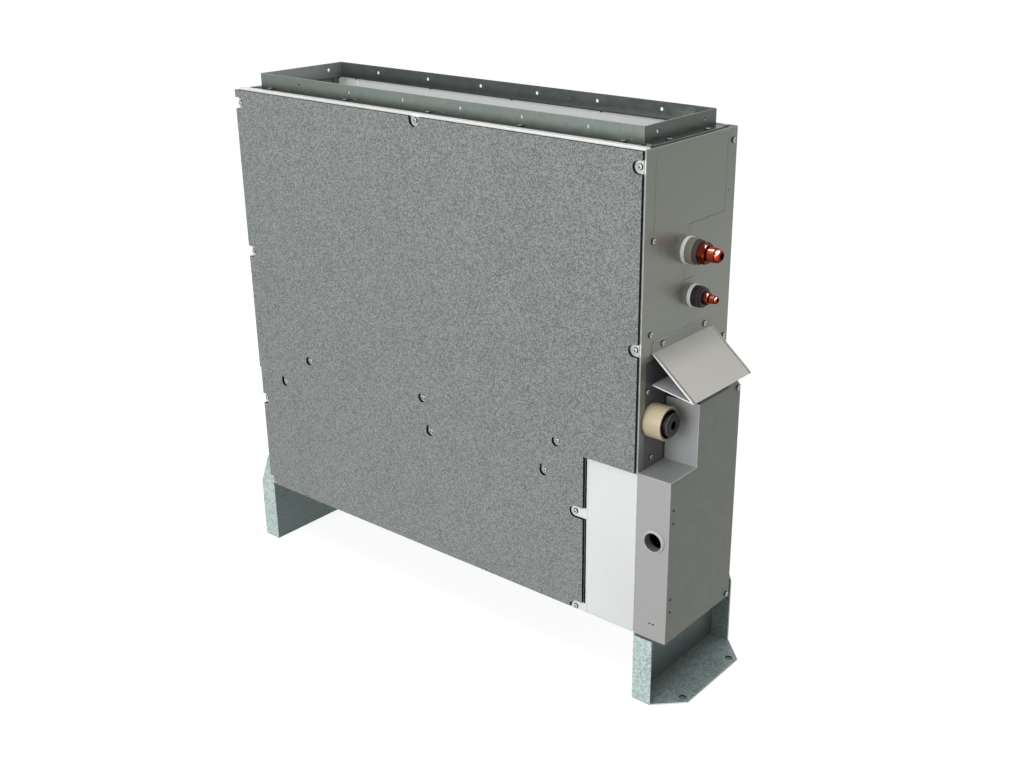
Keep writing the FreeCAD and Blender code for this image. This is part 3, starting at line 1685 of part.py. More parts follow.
# Motor can with a bearing boss on each end; the outline runs up one half and back down its mirror.
def motor_shell():
    half = motor_length / 2
    boss = half + boss_length
    seat = boss - motor_seal
    inner = motor_radius - motor_wall
    inner_edge = motor_edge - sheet
    outside = [
        (boss, shaft_radius + seal_gap),
        (boss, boss_radius),
        (half, boss_radius),
        (half, motor_radius - motor_edge),
        (half - motor_edge, motor_radius),
    ]
    inside = [
        (half - motor_wall - inner_edge, inner),
        (half - motor_wall, inner - inner_edge),
        (half - motor_wall, shaft_radius + inner_seal_gap),
        (seat - bearing_length, shaft_radius + inner_seal_gap),
        (seat - bearing_length, bearing_radius),
        (seat, bearing_radius),
        (seat, shaft_radius + seal_gap),
    ]
    near = [(motor_x - a, r) for a, r in outside]
    far = [(motor_x + a, r) for a, r in outside[::-1]]
    far_inside = [(motor_x + a, r) for a, r in inside[::-1]]
    near_inside = [(motor_x - a, r) for a, r in inside]
    return turned(near + far + far_inside + near_inside, fan_y, fan_z)


# The two bearings of the motor, which the shaft turns in.
def motor_bearings():
    boss = motor_length / 2 + boss_length
    pieces = []
    for side in (-1, 1):
        x0 = motor_x + side * (boss - motor_seal)
        x1 = x0 - side * bearing_length
        outline = [
            (x0, shaft_radius + running_gap),
            (x0, bearing_radius),
            (x1, bearing_radius),
            (x1, shaft_radius + running_gap),
        ]
        pieces.append(turned(outline, fan_y, fan_z))
    return Part.makeCompound(pieces)


# Rubber rings between the motor's bosses and its bracket.
def motor_mounts():
    half = motor_length / 2 + boss_length / 2
    pieces = []
    for side in (-1, 1):
        x = motor_x + side * half
        outline = [
            (x - mount_thickness / 2, boss_radius),
            (x - mount_thickness / 2, mount_radius),
            (x + mount_thickness / 2, mount_radius),
            (x + mount_thickness / 2, boss_radius),
        ]
        pieces.append(turned(outline, fan_y, fan_z))
    return Part.makeCompound(pieces)


# Bracket that hangs the motor from the deck by its rubber rings.
def motor_bracket():
    half = motor_length / 2 + boss_length / 2
    c = motor_x
    low = fan_z - mount_radius - bracket_drop
    top_line = deck - bracket_sheet / 2
    path = [(c - half, low), (c - half, top_line), (c + half, top_line), (c + half, low)]
    y0 = fan_y - bracket_width / 2
    body = bent_along_y(path, bracket_sheet, y0, y0 + bracket_width)
    return body.cut(rod(c - half - 5.0, fan_y, fan_z, mount_radius, 2 * half + 10.0, Vector(1, 0, 0)))


# Frame of the air filter with its cross ribs and a front pull.
def filter_frame():
    outer = block(filter_x0, filter_y0, filter_bottom, filter_x1, filter_y1, filter_top)
    inner = block(
        filter_x0 + filter_border,
        filter_y0 + filter_border,
        filter_bottom - 1.0,
        filter_x1 - filter_border,
        filter_y1 - filter_border,
        filter_top + 1.0,
    )
    pieces = [outer.cut(inner)]
    bay = (filter_x1 - filter_x0 - 2 * filter_border) / (filter_ribs + 1)
    for i in range(filter_ribs):
        x0 = filter_x0 + filter_border + bay * (i + 1) - filter_rib / 2
        y0 = filter_y0 + rib_lap
        pieces.append(block(x0, y0, filter_bottom, x0 + filter_rib, filter_y1 - rib_lap, filter_top))
    middle = (filter_x0 + filter_x1) / 2
    x0 = middle - filter_handle / 2
    y0 = filter_y0 - filter_pull
    pieces.append(block(x0, y0, filter_bottom, x0 + filter_handle, filter_y0, filter_top))
    return joined(pieces).cut(filter_mesh_sheet())


# Woven filter mesh held in the middle of the frame's thickness.
def filter_mesh_sheet():
    inset = filter_border - mesh_grip
    low = (filter_top + filter_bottom - filter_mesh) / 2
    return block(
        filter_x0 + inset,
        filter_y0 + inset,
        low,
        filter_x1 - inset,
        filter_y1 - inset,
        low + filter_mesh,
    )


# The two rails under the bottom plate that the filter slides in.
def filter_rails():
    pieces = []
    half = rail_sheet / 2
    low = filter_bottom - filter_gap - half
    for side in (-1, 1):
        wall = filter_x0 - filter_gap - half if side < 0 else filter_x1 + filter_gap + half
        path = [(wall + side * rail_lip, base - half), (wall, base - half)]
        path += [(wall, low), (wall - side * rail_lip, low)]
        pieces.append(bent_along_y(path, rail_sheet, filter_y0, filter_y1))
    return Part.makeCompound(pieces)


# A set of pan-head screws as separate solids.
def screws(points, inward):
    return Part.makeCompound([pan_screw(point, inward) for point in points])


side_places = on_side(post_screws + return_screws, right) + on_side(window_screws, right - sheet)
side_places += on_side(hood_screws, right + sheet) + box_screw_points()
collar_places = on_top(collar_long_screws + collar_end_screws, top + sheet) + on_top(corner_screws, top)
seat_places = seat_screw_points()
gas_lengths = (hex_length, thread_length, nose_length)
liquid_lengths = (small_hex_length, small_thread_length, small_nose_length)

nodes = {
    "right_side_plate": right_side_plate(),
    "left_side_plate": left_side_plate(),
    "back_plate": back_plate(),
    "top_plate": top_plate(),
    "bottom_plate": bottom_plate(),
    "duct_collar_rear": collar_angle(False),
    "duct_collar_front": collar_angle(True),
    "front_panel": front_panel(),
    "front_facing": front_facing(),
    "front_posts": Part.makeCompound(
        [front_post(-1, sheet, base + sheet), front_post(1, 2 * sheet, notch_floor)]
    ),
    "leg_right": leg(1),
    "leg_left": leg(-1),
    "terminal_box_shell": terminal_box_shell(),
    "terminal_box_brackets": box_brackets(),
    "terminal_block": terminal_block(),
    "cable_grommet": cable_grommet(),
    "control_box_cover": control_box_cover(),
    "control_box_housing": control_box_housing(),
    "circuit_board": circuit_board(),
    "board_components": board_components(),
    "drip_hood": drip_hood(),
    "drain_window_plate": drain_window_plate(),
    "drain_pan": drain_pan(),
    "drain_socket": drain_socket(),
    "drain_plug": drain_plug(),
    "pipe_rings": Part.makeCompound(
        [
            pipe_ring(gas_y, gas_z, gas_ring_radius, gas_sleeve_radius),
            pipe_ring(liquid_y, liquid_z, liquid_ring_radius, liquid_sleeve_radius),
        ]
    ),
    "gas_pipe_sleeve": pipe_sleeve(
        gas_y,
        gas_z,
        gas_sleeve_radius,
        gas_pipe_radius,
        gas_ring_radius - ring_cover,
        gas_union_x,
        gas_sleeve_cap,
    ),
    "gas_pipe": gas_pipe(),
    "gas_flare_union": flare_union(
        gas_union_x, gas_y, gas_z, gas_hex, gas_thread_radius, gas_bore, gas_pipe_radius, gas_lengths
    ),
    "liquid_pipe_sleeve": pipe_sleeve(
        liquid_y,
        liquid_z,
        liquid_sleeve_radius,
        liquid_pipe_radius,
        liquid_ring_radius - ring_cover,
        liquid_union_x,
        liquid_sleeve_cap,
    ),
    "liquid_pipe": liquid_pipe(),
    "liquid_flare_union": flare_union(
        liquid_union_x,
        liquid_y,
        liquid_z,
        liquid_hex,
        liquid_thread_radius,
        liquid_bore,
        liquid_pipe_radius,
        liquid_lengths,
    ),
    "expansion_valve_body": expansion_valve_body(),
    "expansion_valve_coil": expansion_valve_coil(),
    "feed_pipe": feed_pipe(),
    "coil_fins": coil_fins(),
    "coil_end_plates": Part.makeCompound(
        [coil_end_plate(coil_left - end_plate), coil_end_plate(coil_right)]
    ),
    "coil_return_bends": Part.makeCompound(
        return_bends(coil_left - end_plate, -1, bend_start, bend_pairs)
        + return_bends(coil_right + end_plate, 1, far_bend_start, 1)
    ),
    "gas_header": gas_header(),
    "back_liner": back_liner(),
    "fan_deck": fan_deck(),
    "scroll_casing_left": scroll_casing(fan_centres[0]),
    "scroll_casing_right": scroll_casing(fan_centres[1]),
    "inlet_rings": inlet_rings(),
    "impeller_left": impeller(fan_centres[0]),
    "impeller_right": impeller(fan_centres[1]),
    "fan_shaft": fan_shaft(),
    "motor_rotor": motor_rotor(),
    "motor_stator": motor_stator(),
    "motor_shell": motor_shell(),
    "motor_bearings": motor_bearings(),
    "motor_mounts": motor_mounts(),
    "motor_bracket": motor_bracket(),
    "filter_frame": filter_frame(),
    "filter_mesh": filter_mesh_sheet(),
    "filter_rails": filter_rails(),
    "front_screws": Part.makeCompound(
        [
            screws(on_front(front_places, front), into_front),
            screws(on_front(cover_places, front - sheet), into_front),
        ]
    ),
    "side_screws": screws(side_places, into_side),
    "collar_screws": screws(collar_places, into_top),
    "leg_screws": Part.makeCompound(
        [
            screws(leg_screw_points(1), into_side),
            screws(leg_screw_points(-1), into_side * -1),
            screws(seat_places, into_top * -1),
        ]
    ),
}

for name, shape in nodes.items():
    shape.exportStep("parts/" + name + ".step")
print(len(nodes), "pieces written")
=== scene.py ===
import math

import bmesh
import bpy
from mathutils import Matrix, Vector


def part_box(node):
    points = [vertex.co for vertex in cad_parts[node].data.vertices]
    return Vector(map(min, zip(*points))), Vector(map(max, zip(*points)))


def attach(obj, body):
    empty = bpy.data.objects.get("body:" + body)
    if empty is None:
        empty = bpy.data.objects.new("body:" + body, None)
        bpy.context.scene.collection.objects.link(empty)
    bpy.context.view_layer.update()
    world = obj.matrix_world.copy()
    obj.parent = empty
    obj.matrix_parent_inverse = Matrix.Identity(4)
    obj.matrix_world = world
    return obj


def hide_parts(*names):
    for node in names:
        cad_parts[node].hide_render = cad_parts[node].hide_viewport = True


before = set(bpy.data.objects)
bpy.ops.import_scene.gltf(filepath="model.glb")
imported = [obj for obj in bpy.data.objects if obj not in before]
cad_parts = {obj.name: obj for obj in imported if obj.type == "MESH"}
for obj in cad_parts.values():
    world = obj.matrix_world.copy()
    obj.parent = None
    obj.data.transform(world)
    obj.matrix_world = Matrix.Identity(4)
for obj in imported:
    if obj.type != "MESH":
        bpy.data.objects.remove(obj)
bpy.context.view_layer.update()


# The studio: the unit stands on a white floor in front of a white background, as in a
# catalogue picture, and is seen from the front, well to the right of it and above it. The
# floor is dark in the bolt holes of the feet, where hardly any light reaches it.
camera_data = bpy.data.cameras.new("camera")
camera_data.sensor_width = 36.0
camera_data.lens = 44.787
camera_data.shift_x = -0.04555
camera_data.shift_y = 0.00708
camera = bpy.data.objects.new("camera", camera_data)
bpy.context.scene.collection.objects.link(camera)
bpy.context.scene.camera = camera
view_right = Vector((0.787002, 0.616947, 0.002034))
view_up = Vector((-0.232858, 0.293987, 0.927010))
view_back = Vector((0.571318, -0.730033, 0.375030))
camera_turn = Matrix((view_right, view_up, view_back)).transposed().to_4x4()
camera_place = Vector((1.137305, -1.260449, 1.000385))
camera.matrix_world = Matrix.Translation(camera_place) @ camera_turn
bpy.context.scene.view_settings.view_transform = "Standard"


def soft_light(name, place, aim, width, power):
    """A round soft lamp at one point that shines at another."""
    data = bpy.data.lights.new(name, "AREA")
    data.shape = "DISK"
    data.size = width
    data.energy = power
    lamp = bpy.data.objects.new(name, data)
    bpy.context.scene.collection.objects.link(lamp)
    lamp.location = place
    lamp.rotation_euler = (Vector(aim) - Vector(place)).to_track_quat("-Z", "Y").to_euler()


soft_light("front_light", place=(-0.1, -3.3, 1.3), aim=(0.0, 0.0, 0.4), width=2.2, power=62.0)
soft_light("side_light", place=(1.9, 0.1, 2.6), aim=(0.2, 0.0, 0.4), width=1.4, power=14.0)
soft_light("top_light", place=(0.0, -1.3, 2.9), aim=(0.0, 0.0, 0.5), width=1.0, power=9.0)


class Value:
    """The output of a node in one finish, which takes part in sums."""

    def __init__(self, finish, socket):
        self.finish = finish
        self.socket = socket

    def maths(self, operation, *others):
        inputs = dict(enumerate((self,) + others))
        return self.finish.node("Math", {"operation": operation}, inputs)

    def __add__(self, other):
        return self.maths("ADD", other)

    def __radd__(self, other):
        return self.maths("ADD", other)

    def __sub__(self, other):
        return self.maths("SUBTRACT", other)

    def __rsub__(self, other):
        return self.finish.node("Math", {"operation": "SUBTRACT"}, {0: other, 1: self})

    def __mul__(self, other):
        return self.maths("MULTIPLY", other)

    def __rmul__(self, other):
        return self.maths("MULTIPLY", other)

    def __neg__(self):
        return self.maths("MULTIPLY", -1.0)

    def __abs__(self):
        return self.maths("ABSOLUTE")

    def over(self, limit):
        return self.maths("GREATER_THAN", limit)

    def wave(self):
        return self.maths("SINE")


class Finish:
    """One material, with its shader and the nodes that feed it."""

    def __init__(self, name, roughness=0.5, metallic=0.0, specular=0.5):
        self.material = bpy.data.materials.new(name)
        self.material.use_nodes = True
        self.tree = self.material.node_tree
        self.shader = self.tree.nodes["Principled BSDF"]
        self.shader.inputs["Roughness"].default_value = roughness
        self.shader.inputs["Metallic"].default_value = metallic
        self.shader.inputs["Specular IOR Level"].default_value = specular

    def node(self, kind, settings=None, inputs=None, output=0):
        made = self.tree.nodes.new("ShaderNode" + kind)
        for key, value in (settings or {}).items():
            setattr(made, key, value)
        for key, value in (inputs or {}).items():
            if isinstance(value, Value):
                self.tree.links.new(value.socket, made.inputs[key])
            else:
                made.inputs[key].default_value = value
        return Value(self, made.outputs[output])

    def place(self, stretch=(1.0, 1.0, 1.0), turn=(0.0, 0.0, 0.0)):
        """A point's place on the piece, stretched or turned for a pattern."""
        spot = self.node("TexCoord", output="Object")
        inputs = {"Vector": spot, "Scale": stretch, "Rotation": turn}
        return self.node("Mapping", {"vector_type": "POINT"}, inputs)

    def parts(self, vector):
        """The X, Y and Z of a place or of a facing."""
        return [self.node("SeparateXYZ", None, {0: vector}, i) for i in range(3)]

    def spot(self):
        """How far a point lies along X, Y and Z, in metres."""
        return self.parts(self.place())

    def facing(self):
        """How much a surface faces along X, Y and Z, each from -1 to 1."""
        return self.parts(self.node("TexCoord", output="Normal"))

    def noise(self, scale, detail=2.0, roughness=0.5, at=None):
        inputs = {
            "Vector": at or self.place(),
            "Scale": scale,
            "Detail": detail,
            "Roughness": roughness,
        }
        return self.node("TexNoise", {"noise_dimensions": "3D"}, inputs)

    def ramp(self, value, low, high):
        """Rises from 0 where the value is low to 1 where it is high."""
        inputs = {0: value, 1: low, 2: high, 3: 0.0, 4: 1.0}
        return self.node("MapRange", {"interpolation_type": "SMOOTHSTEP"}, inputs)

    def fall(self, value, low, high):
        """Falls from 1 where the value is low to 0 where it is high."""
        return self.ramp(-value, -high, -low)

    def towards(self, part, low=0.6, high=0.9):
        """Rises to 1 where a surface faces one way, given that part of its facing."""
        return self.ramp(part, low, high)

    def mix(self, share, first, second):
        return self.node("Mix", {"data_type": "RGBA"}, {0: share, 6: first, 7: second}, 2)

    def feed(self, socket, value):
        self.tree.links.new(value.socket, self.shader.inputs[socket])

    def bump(self, height, depth, strength):
        inputs = {"Height": height, "Distance": depth, "Strength": strength}
        self.feed("Normal", self.node("Bump", None, inputs))


def tone(code):
    """A colour as it looks on a screen, turned into the numbers a shader adds up."""
    shares = [int(code[i : i + 2], 16) / 255 for i in (0, 2, 4)]
    linear = [s / 12.92 if s <= 0.04045 else ((s + 0.055) / 1.055) ** 2.4 for s in shares]
    return (*linear, 1.0)


def from_axis(first, second):
    """How far a point lies from an axis, given its two distances across it."""
    return (first * first + second * second).maths("SQRT")


world = bpy.data.worlds.new("white_studio")
bpy.context.scene.world = world
world.use_nodes = True
sky = world.node_tree
backdrop = sky.nodes["Background"]
backdrop.inputs["Color"].default_value = (1.0, 1.0, 1.0, 1.0)
backdrop.inputs["Strength"].default_value = 1.0
room_light = sky.nodes.new("ShaderNodeBackground")
room_light.inputs["Color"].default_value = (0.96, 0.98, 1.0, 1.0)
room_light.inputs["Strength"].default_value = 0.42
ray = sky.nodes.new("ShaderNodeLightPath")
clear_view = sky.nodes.new("ShaderNodeMath")
clear_view.operation = "MAXIMUM"
sky.links.new(ray.outputs["Is Camera Ray"], clear_view.inputs[0])
sky.links.new(ray.outputs["Is Transmission Ray"], clear_view.inputs[1])
any_view = sky.nodes.new("ShaderNodeMath")
any_view.operation = "MAXIMUM"
sky.links.new(clear_view.outputs[0], any_view.inputs[0])
sky.links.new(ray.outputs["Is Glossy Ray"], any_view.inputs[1])
choice = sky.nodes.new("ShaderNodeMixShader")
sky.links.new(any_view.outputs[0], choice.inputs[0])
sky.links.new(room_light.outputs[0], choice.inputs[1])
sky.links.new(backdrop.outputs[0], choice.inputs[2])
sky.links.new(choice.outputs[0], sky.nodes["World Output"].inputs["Surface"])

floor_reach = 150.0
floor_mesh = bpy.data.meshes.new("floor")
floor_form = bmesh.new()
bmesh.ops.create_grid(floor_form, x_segments=1, y_segments=1, size=floor_reach)
floor_form.to_mesh(floor_mesh)
floor_form.free()
floor = bpy.data.objects.new("floor", floor_mesh)
bpy.context.scene.collection.objects.link(floor)
floor_paint = Finish("floor_white", roughness=0.9, specular=0.0)
floor_seen = floor_paint.node("LightPath", output="Is Camera Ray")
floor_mirrored = floor_paint.node("LightPath", output="Is Glossy Ray")
floor_through = floor_paint.node("LightPath", output="Is Transmission Ray")
floor_view = floor_seen.maths("MAXIMUM", floor_mirrored).maths("MAXIMUM", floor_through)
floor_paint.feed("Emission Strength", 0.80 * floor_view)
foot_hole_x = 0.404
foot_hole_y = 0.058
foot_hole_radius = 0.0045
floor_x, floor_y = floor_paint.spot()[:2]
floor_hole_off = from_axis(abs(floor_x) - foot_hole_x, abs(floor_y) - foot_hole_y)
floor_shade = floor_paint.fall(
    floor_hole_off, foot_hole_radius + 0.0005, foot_hole_radius + 0.0025
)
floor_glow = floor_paint.mix(floor_shade, tone("FFFFFF"), tone("59615F"))
floor_grey = floor_paint.mix(floor_shade, (0.50, 0.50, 0.50, 1.0), tone("3A403F"))
floor_paint.feed("Emission Color", floor_glow)
floor_paint.feed("Base Color", floor_grey)
floor_mesh.materials.append(floor_paint.material)


# The cabinet is folded from zinc-coated steel sheet, dull olive grey, whose fine crystals
# barely show. The sheets are screwed to two corner posts, and their cut and hemmed edges are
# bare. Their folds and edges, and the front hem of the pipe side, carry a painted highlight.
# Thin lines are pressed into the pipe side, with painted shade in them, and the upper pipe side
# is painted a little darker as shade. The top plate is painted dark as shade, but for its front
# lip, which carries a painted highlight.
def finish_nodes(finish, *names):
    """Gives a finish to CAD nodes that stay as they are."""
    for name in names:
        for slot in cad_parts[name].material_slots:
            slot.material = finish.material


def crystals(finish, per_metre):
    """A random number for each crystal of a zinc coating."""
    inputs = {"Vector": finish.place(), "Scale": per_metre}
    return finish.parts(finish.node("TexVoronoi", {"feature": "F1"}, inputs, "Color"))[0]


def zinc_sheet(name, pale, dark, roughness=0.4, metal=0.4):
    """Zinc-coated sheet that wavers between two tones."""
    finish = Finish(name, metallic=metal)
    grain = crystals(finish, 160.0)
    cloud = finish.noise(9.0, 3.0)
    fine = finish.noise(700.0, 2.0)
    share = grain * 0.3 + cloud * 0.5 + fine * 0.2
    finish.face = finish.mix(share, dark, pale)
    finish.feed("Base Color", finish.face)
    finish.feed("Roughness", roughness + 0.12 * grain + 0.06 * fine)
    finish.bump(fine + 0.6 * grain, 0.00003, 0.4)
    return finish


def repaint(finish, share, colour):
    """Lays another colour over part of a finish."""
    finish.face = finish.mix(share, finish.face, colour)
    finish.feed("Base Color", finish.face)


def painted_edge_highlight(finish, colour):
    """Paints a highlight on the narrow bevels along folds and cut edges, which face two ways at
    once.
    """
    x, y, z = finish.facing()
    slant = x * x * y * y + y * y * z * z + x * x * z * z
    repaint(finish, finish.ramp(slant, 0.1, 0.2), colour)


def finished(name, form, finish, slot, *replaced, smooth=True):
    """Makes a piece of the cabinet from a form, in place of the CAD nodes that are named."""
    mesh = bpy.data.meshes.new(name)
    form.to_mesh(mesh)
    form.free()
    stale = mesh.attributes.get("custom_normal")
    if stale:
        mesh.attributes.remove(stale)
    sharp_angle = math.radians(38.0)
    mesh.polygons.foreach_set("use_smooth", [smooth] * len(mesh.polygons))
    mesh.set_sharp_from_angle(angle=sharp_angle)
    mesh.materials.append(finish.material)
    piece = bpy.data.objects.new(name, mesh)
    bpy.context.scene.collection.objects.link(piece)
    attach(piece, "cabinet")
    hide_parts(*replaced)


weld_distance = 0.000001


def welded(node):
    """A copy of a CAD node, whose loose triangles are joined at their corners."""
    form = bmesh.new()
    form.from_mesh(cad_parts[node].data)
    bmesh.ops.remove_doubles(form, verts=form.verts, dist=weld_distance)
    return form


def bevelled(form, edges, width, segments, clamp):
    """Cuts edges of a form off, or rounds them."""
    bmesh.ops.bevel(
        form,
        geom=edges,
        offset=width,
        offset_type="OFFSET",
        segments=segments,
        profile=0.5,
        affect="EDGES",
        material=-1,
        clamp_overlap=clamp,
    )


def folded(node, finish, slot, width):
    """A sheet piece from its CAD node, with a narrow bevel along its folds and cut edges."""
    form = welded(node)
    bmesh.ops.dissolve_limit(
        form,
        angle_limit=math.radians(0.5),
        use_dissolve_boundaries=False,
        verts=form.verts,
        edges=form.edges,
        delimit=set(),
    )
    shortest_fold = 0.006
    least_turn = math.radians(60.0)
    folds = []
    for edge in form.edges:
        length = edge.calc_length()
        if length < shortest_fold or not edge.is_manifold or not edge.is_convex:
            continue
        narrowest_area = min(face.calc_area() for face in edge.link_faces)
        if narrowest_area > 2.0 * width * length and edge.calc_face_angle() > least_turn:
            folds.append(edge)
    bevelled(form, folds, width, segments=1, clamp=False)
    finished(node + "_bevelled", form, finish, slot, node, smooth=False)


sheet_bevel = 0.0003
cabinet_sheet = zinc_sheet("zinc_sheet", tone("8F928A"), tone("7F837A"))
finish_nodes(cabinet_sheet, "left_side_plate", "back_plate", "front_posts")
finish_nodes(cabinet_sheet, "fan_deck", "bottom_plate", "filter_rails")
panel_sheet = zinc_sheet("panel_sheet", tone("DADDD9"), tone("CDD0CC"), metal=0.3)
finish_nodes(panel_sheet, "front_panel")
side_sheet = zinc_sheet("side_sheet", tone("868980"), tone("797C73"), roughness=0.27, metal=0.5)
side_plane = 0.35
side_x, side_y = side_sheet.facing()[:2]
side_spot = side_sheet.spot()
side_face = side_sheet.towards(side_x)
side_hem_highlight = side_sheet.towards(-side_y, 0.8, 0.95)
side_high_shade = side_sheet.ramp(side_spot[2], 0.5, 0.74)
side_groove_shade = side_sheet.fall(side_spot[0], side_plane - 0.0002, side_plane - 0.00008)
# Painted highlight on the front hem; painted shade on the upper side and in the pressed lines.
repaint(side_sheet, side_hem_highlight, tone("DEE0DA"))
repaint(side_sheet, 0.5 * side_high_shade * side_face, tone("6D7067"))
repaint(side_sheet, side_groove_shade * side_face, tone("4E514B"))
painted_edge_highlight(side_sheet, tone("B4B7AF"))
folded("right_side_plate", side_sheet, "galvanised_steel", sheet_bevel)
# The top plate is painted dark as shade; its front lip carries a painted highlight.
shaded_top_sheet = zinc_sheet("shaded_top_sheet", tone("4E534E"), tone("434843"))
lip_depth = 0.0095
lip_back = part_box("top_plate")[0].y + lip_depth
lip_highlight = shaded_top_sheet.fall(shaded_top_sheet.spot()[1], lip_back - 0.0002, lip_back)
repaint(shaded_top_sheet, lip_highlight, tone("F2F3EF"))
folded("top_plate", shaded_top_sheet, "galvanised_steel", sheet_bevel)


# The front facing is a 4 mm speckled felt glued over the panel as insulation. It is die-cut,
# so its edges and the notches round the screws show the black foam behind the printed face.
felt = Finish("speckled_felt", roughness=0.92, specular=0.2)
felt_out = felt.towards(-felt.facing()[1], 0.55, 0.8)
felt_fine = felt.noise(680.0, 0.0)
felt_fleck = felt.noise(1300.0, 1.0, 0.6)
felt_cloud = felt.noise(26.0, 4.0, 0.6, felt.place(stretch=(1.0, 1.0, 0.45)))
felt_share = felt.ramp(0.68 * felt_fine + 0.26 * felt_fleck + 0.06 * felt_cloud, 0.36, 0.64)
felt_foot = felt.fall(felt.spot()[2], 0.10, 0.45)
felt_face = felt.mix(felt_share + 0.12 * felt_foot, tone("727775"), tone("9DA19F"))
felt.feed("Base Color", felt.mix(felt_out, tone("141516"), felt_face))
felt.bump(felt_fine + 0.5 * felt_fleck, 0.0002, 0.3)
finish_nodes(felt, "front_facing")


# Two equal angles of grey zinc-coated sheet make the duct collar on top of the cabinet. They
# overlap at two corners, and each is screwed down through its flanges. Painted shade darkens the
# right end, the rear wall, the front wall towards its left end, the tops of the flanges and
# every wall towards its seat; painted light brightens the left end's inner face, and the edges
# carry a painted highlight.
collar_sheet = zinc_sheet(
    "collar_sheet", tone("838C86"), tone("6F7872"), roughness=0.26, metal=0.55
)
collar_x, collar_y, collar_z = collar_sheet.facing()
collar_across, collar_deep, collar_height = collar_sheet.spot()
collar_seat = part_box("duct_collar_front")[0].z
wall_to_right = collar_sheet.towards(collar_x)
wall_to_front = collar_sheet.towards(-collar_y)
collar_right_shade = collar_sheet.ramp(collar_across, 0.0, 0.1) * wall_to_right
collar_behind_shade = collar_sheet.ramp(collar_deep, 0.0, 0.03) * wall_to_front
collar_left_light = collar_sheet.fall(collar_across, -0.2, -0.1) * wall_to_right
collar_far_shade = collar_sheet.fall(collar_across, -0.34, 0.0)
collar_far_shade = collar_far_shade * collar_sheet.fall(collar_deep, -0.03, 0.0)
collar_low_shade = collar_sheet.fall(collar_height, collar_seat, collar_seat + 0.014)
# Painted shade on the right end, the rear wall and the front wall's left part.
repaint(collar_sheet, 0.9 * collar_right_shade, tone("4E544F"))
repaint(collar_sheet, 0.8 * collar_behind_shade, tone("6A716D"))
repaint(collar_sheet, 0.6 * collar_far_shade * wall_to_front, tone("666E69"))
# Painted light on the left end's inner face; painted shade on the flange tops and near the seat.
repaint(collar_sheet, 0.8 * collar_left_light, tone("A9B0AC"))
repaint(collar_sheet, collar_sheet.towards(collar_z), tone("545953"))
repaint(collar_sheet, 0.5 * collar_low_shade, tone("3A3D39"))
painted_edge_highlight(collar_sheet, tone("9BA29E"))
folded("duct_collar_rear", collar_sheet, "galvanised_steel", sheet_bevel)
folded("duct_collar_front", collar_sheet, "galvanised_steel", sheet_bevel)


# Each leg is folded from 2 mm sheet, hot-dip galvanised: a fine pale blue-green bloom with
# darker flecks. It is screwed through its tall tab and its seat. Painted shade makes its web,
# its tops and its inner faces duller than the outside and darker towards the foot, and darkens
# the fold and the rims of the foot holes. Its edges carry a painted highlight.
wide_bevel = 0.0004
leg_zinc = Finish("spangled_zinc", metallic=0.3)
leg_grain = crystals(leg_zinc, 420.0)
leg_fleck = leg_zinc.noise(700.0, 3.0, 0.7)
leg_cloud = leg_zinc.noise(24.0, 4.0, 0.6)
leg_share = leg_zinc.ramp(0.3 * leg_grain + 0.4 * leg_fleck + 0.3 * leg_cloud, 0.25, 0.75)
leg_zinc.face = leg_zinc.mix(leg_share, tone("95A9A5"), tone("D3E1DF"))
leg_shaded_tone = leg_zinc.mix(leg_share, tone("5F6E6B"), tone("7C8B88"))
leg_dim_shade = leg_zinc.mix(leg_share, tone("768683"), tone("96A6A3"))
leg_x, leg_y, leg_z = leg_zinc.facing()
leg_across, leg_deep, leg_height = leg_zinc.spot()
leg_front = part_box("leg_right")[0].y
leg_web = leg_zinc.towards(leg_x)
leg_shade = leg_web * leg_zinc.fall(leg_height, 0.0, 0.08)
leg_shade = leg_shade * leg_zinc.ramp(leg_across, 0.0, 0.1)
leg_inner_shade = leg_zinc.ramp(leg_deep, leg_front + 0.02, leg_front + 0.04)
leg_inner_shade = leg_inner_shade * leg_zinc.towards(-leg_y)
leg_top = leg_zinc.towards(leg_z)
leg_fold_shade = leg_zinc.fall(leg_across, side_plane + 0.002, side_plane + 0.035)
hole_off = from_axis(abs(leg_across) - foot_hole_x, abs(leg_deep) - foot_hole_y)
hole_rim_shade = leg_zinc.fall(hole_off, foot_hole_radius + 0.0002, foot_hole_radius + 0.0008)
foot_top = 0.0030
hole_rim_shade = hole_rim_shade * leg_zinc.fall(leg_height, foot_top, foot_top + 0.0005)
# Painted shade on the web, the inner faces, the tops, the fold and near the right foot.
repaint(leg_zinc, leg_web, leg_shaded_tone)
repaint(leg_zinc, 0.7 * leg_shade, tone("2E3534"))
repaint(leg_zinc, leg_inner_shade, leg_dim_shade)
repaint(leg_zinc, 0.6 * leg_top, leg_shaded_tone)
repaint(leg_zinc, 0.6 * leg_top * leg_fold_shade, tone("39413F"))
painted_edge_highlight(leg_zinc, tone("D9E4E2"))
# Painted shade round the rims of the foot holes.
repaint(leg_zinc, hole_rim_shade, tone("232827"))
leg_zinc.feed("Roughness", 0.4 + 0.2 * leg_grain)
leg_zinc.bump(leg_grain + leg_fleck, 0.00005, 0.5)
folded("leg_right", leg_zinc, "leg_zinc", wide_bevel)
folded("leg_left", leg_zinc, "leg_zinc", wide_bevel)


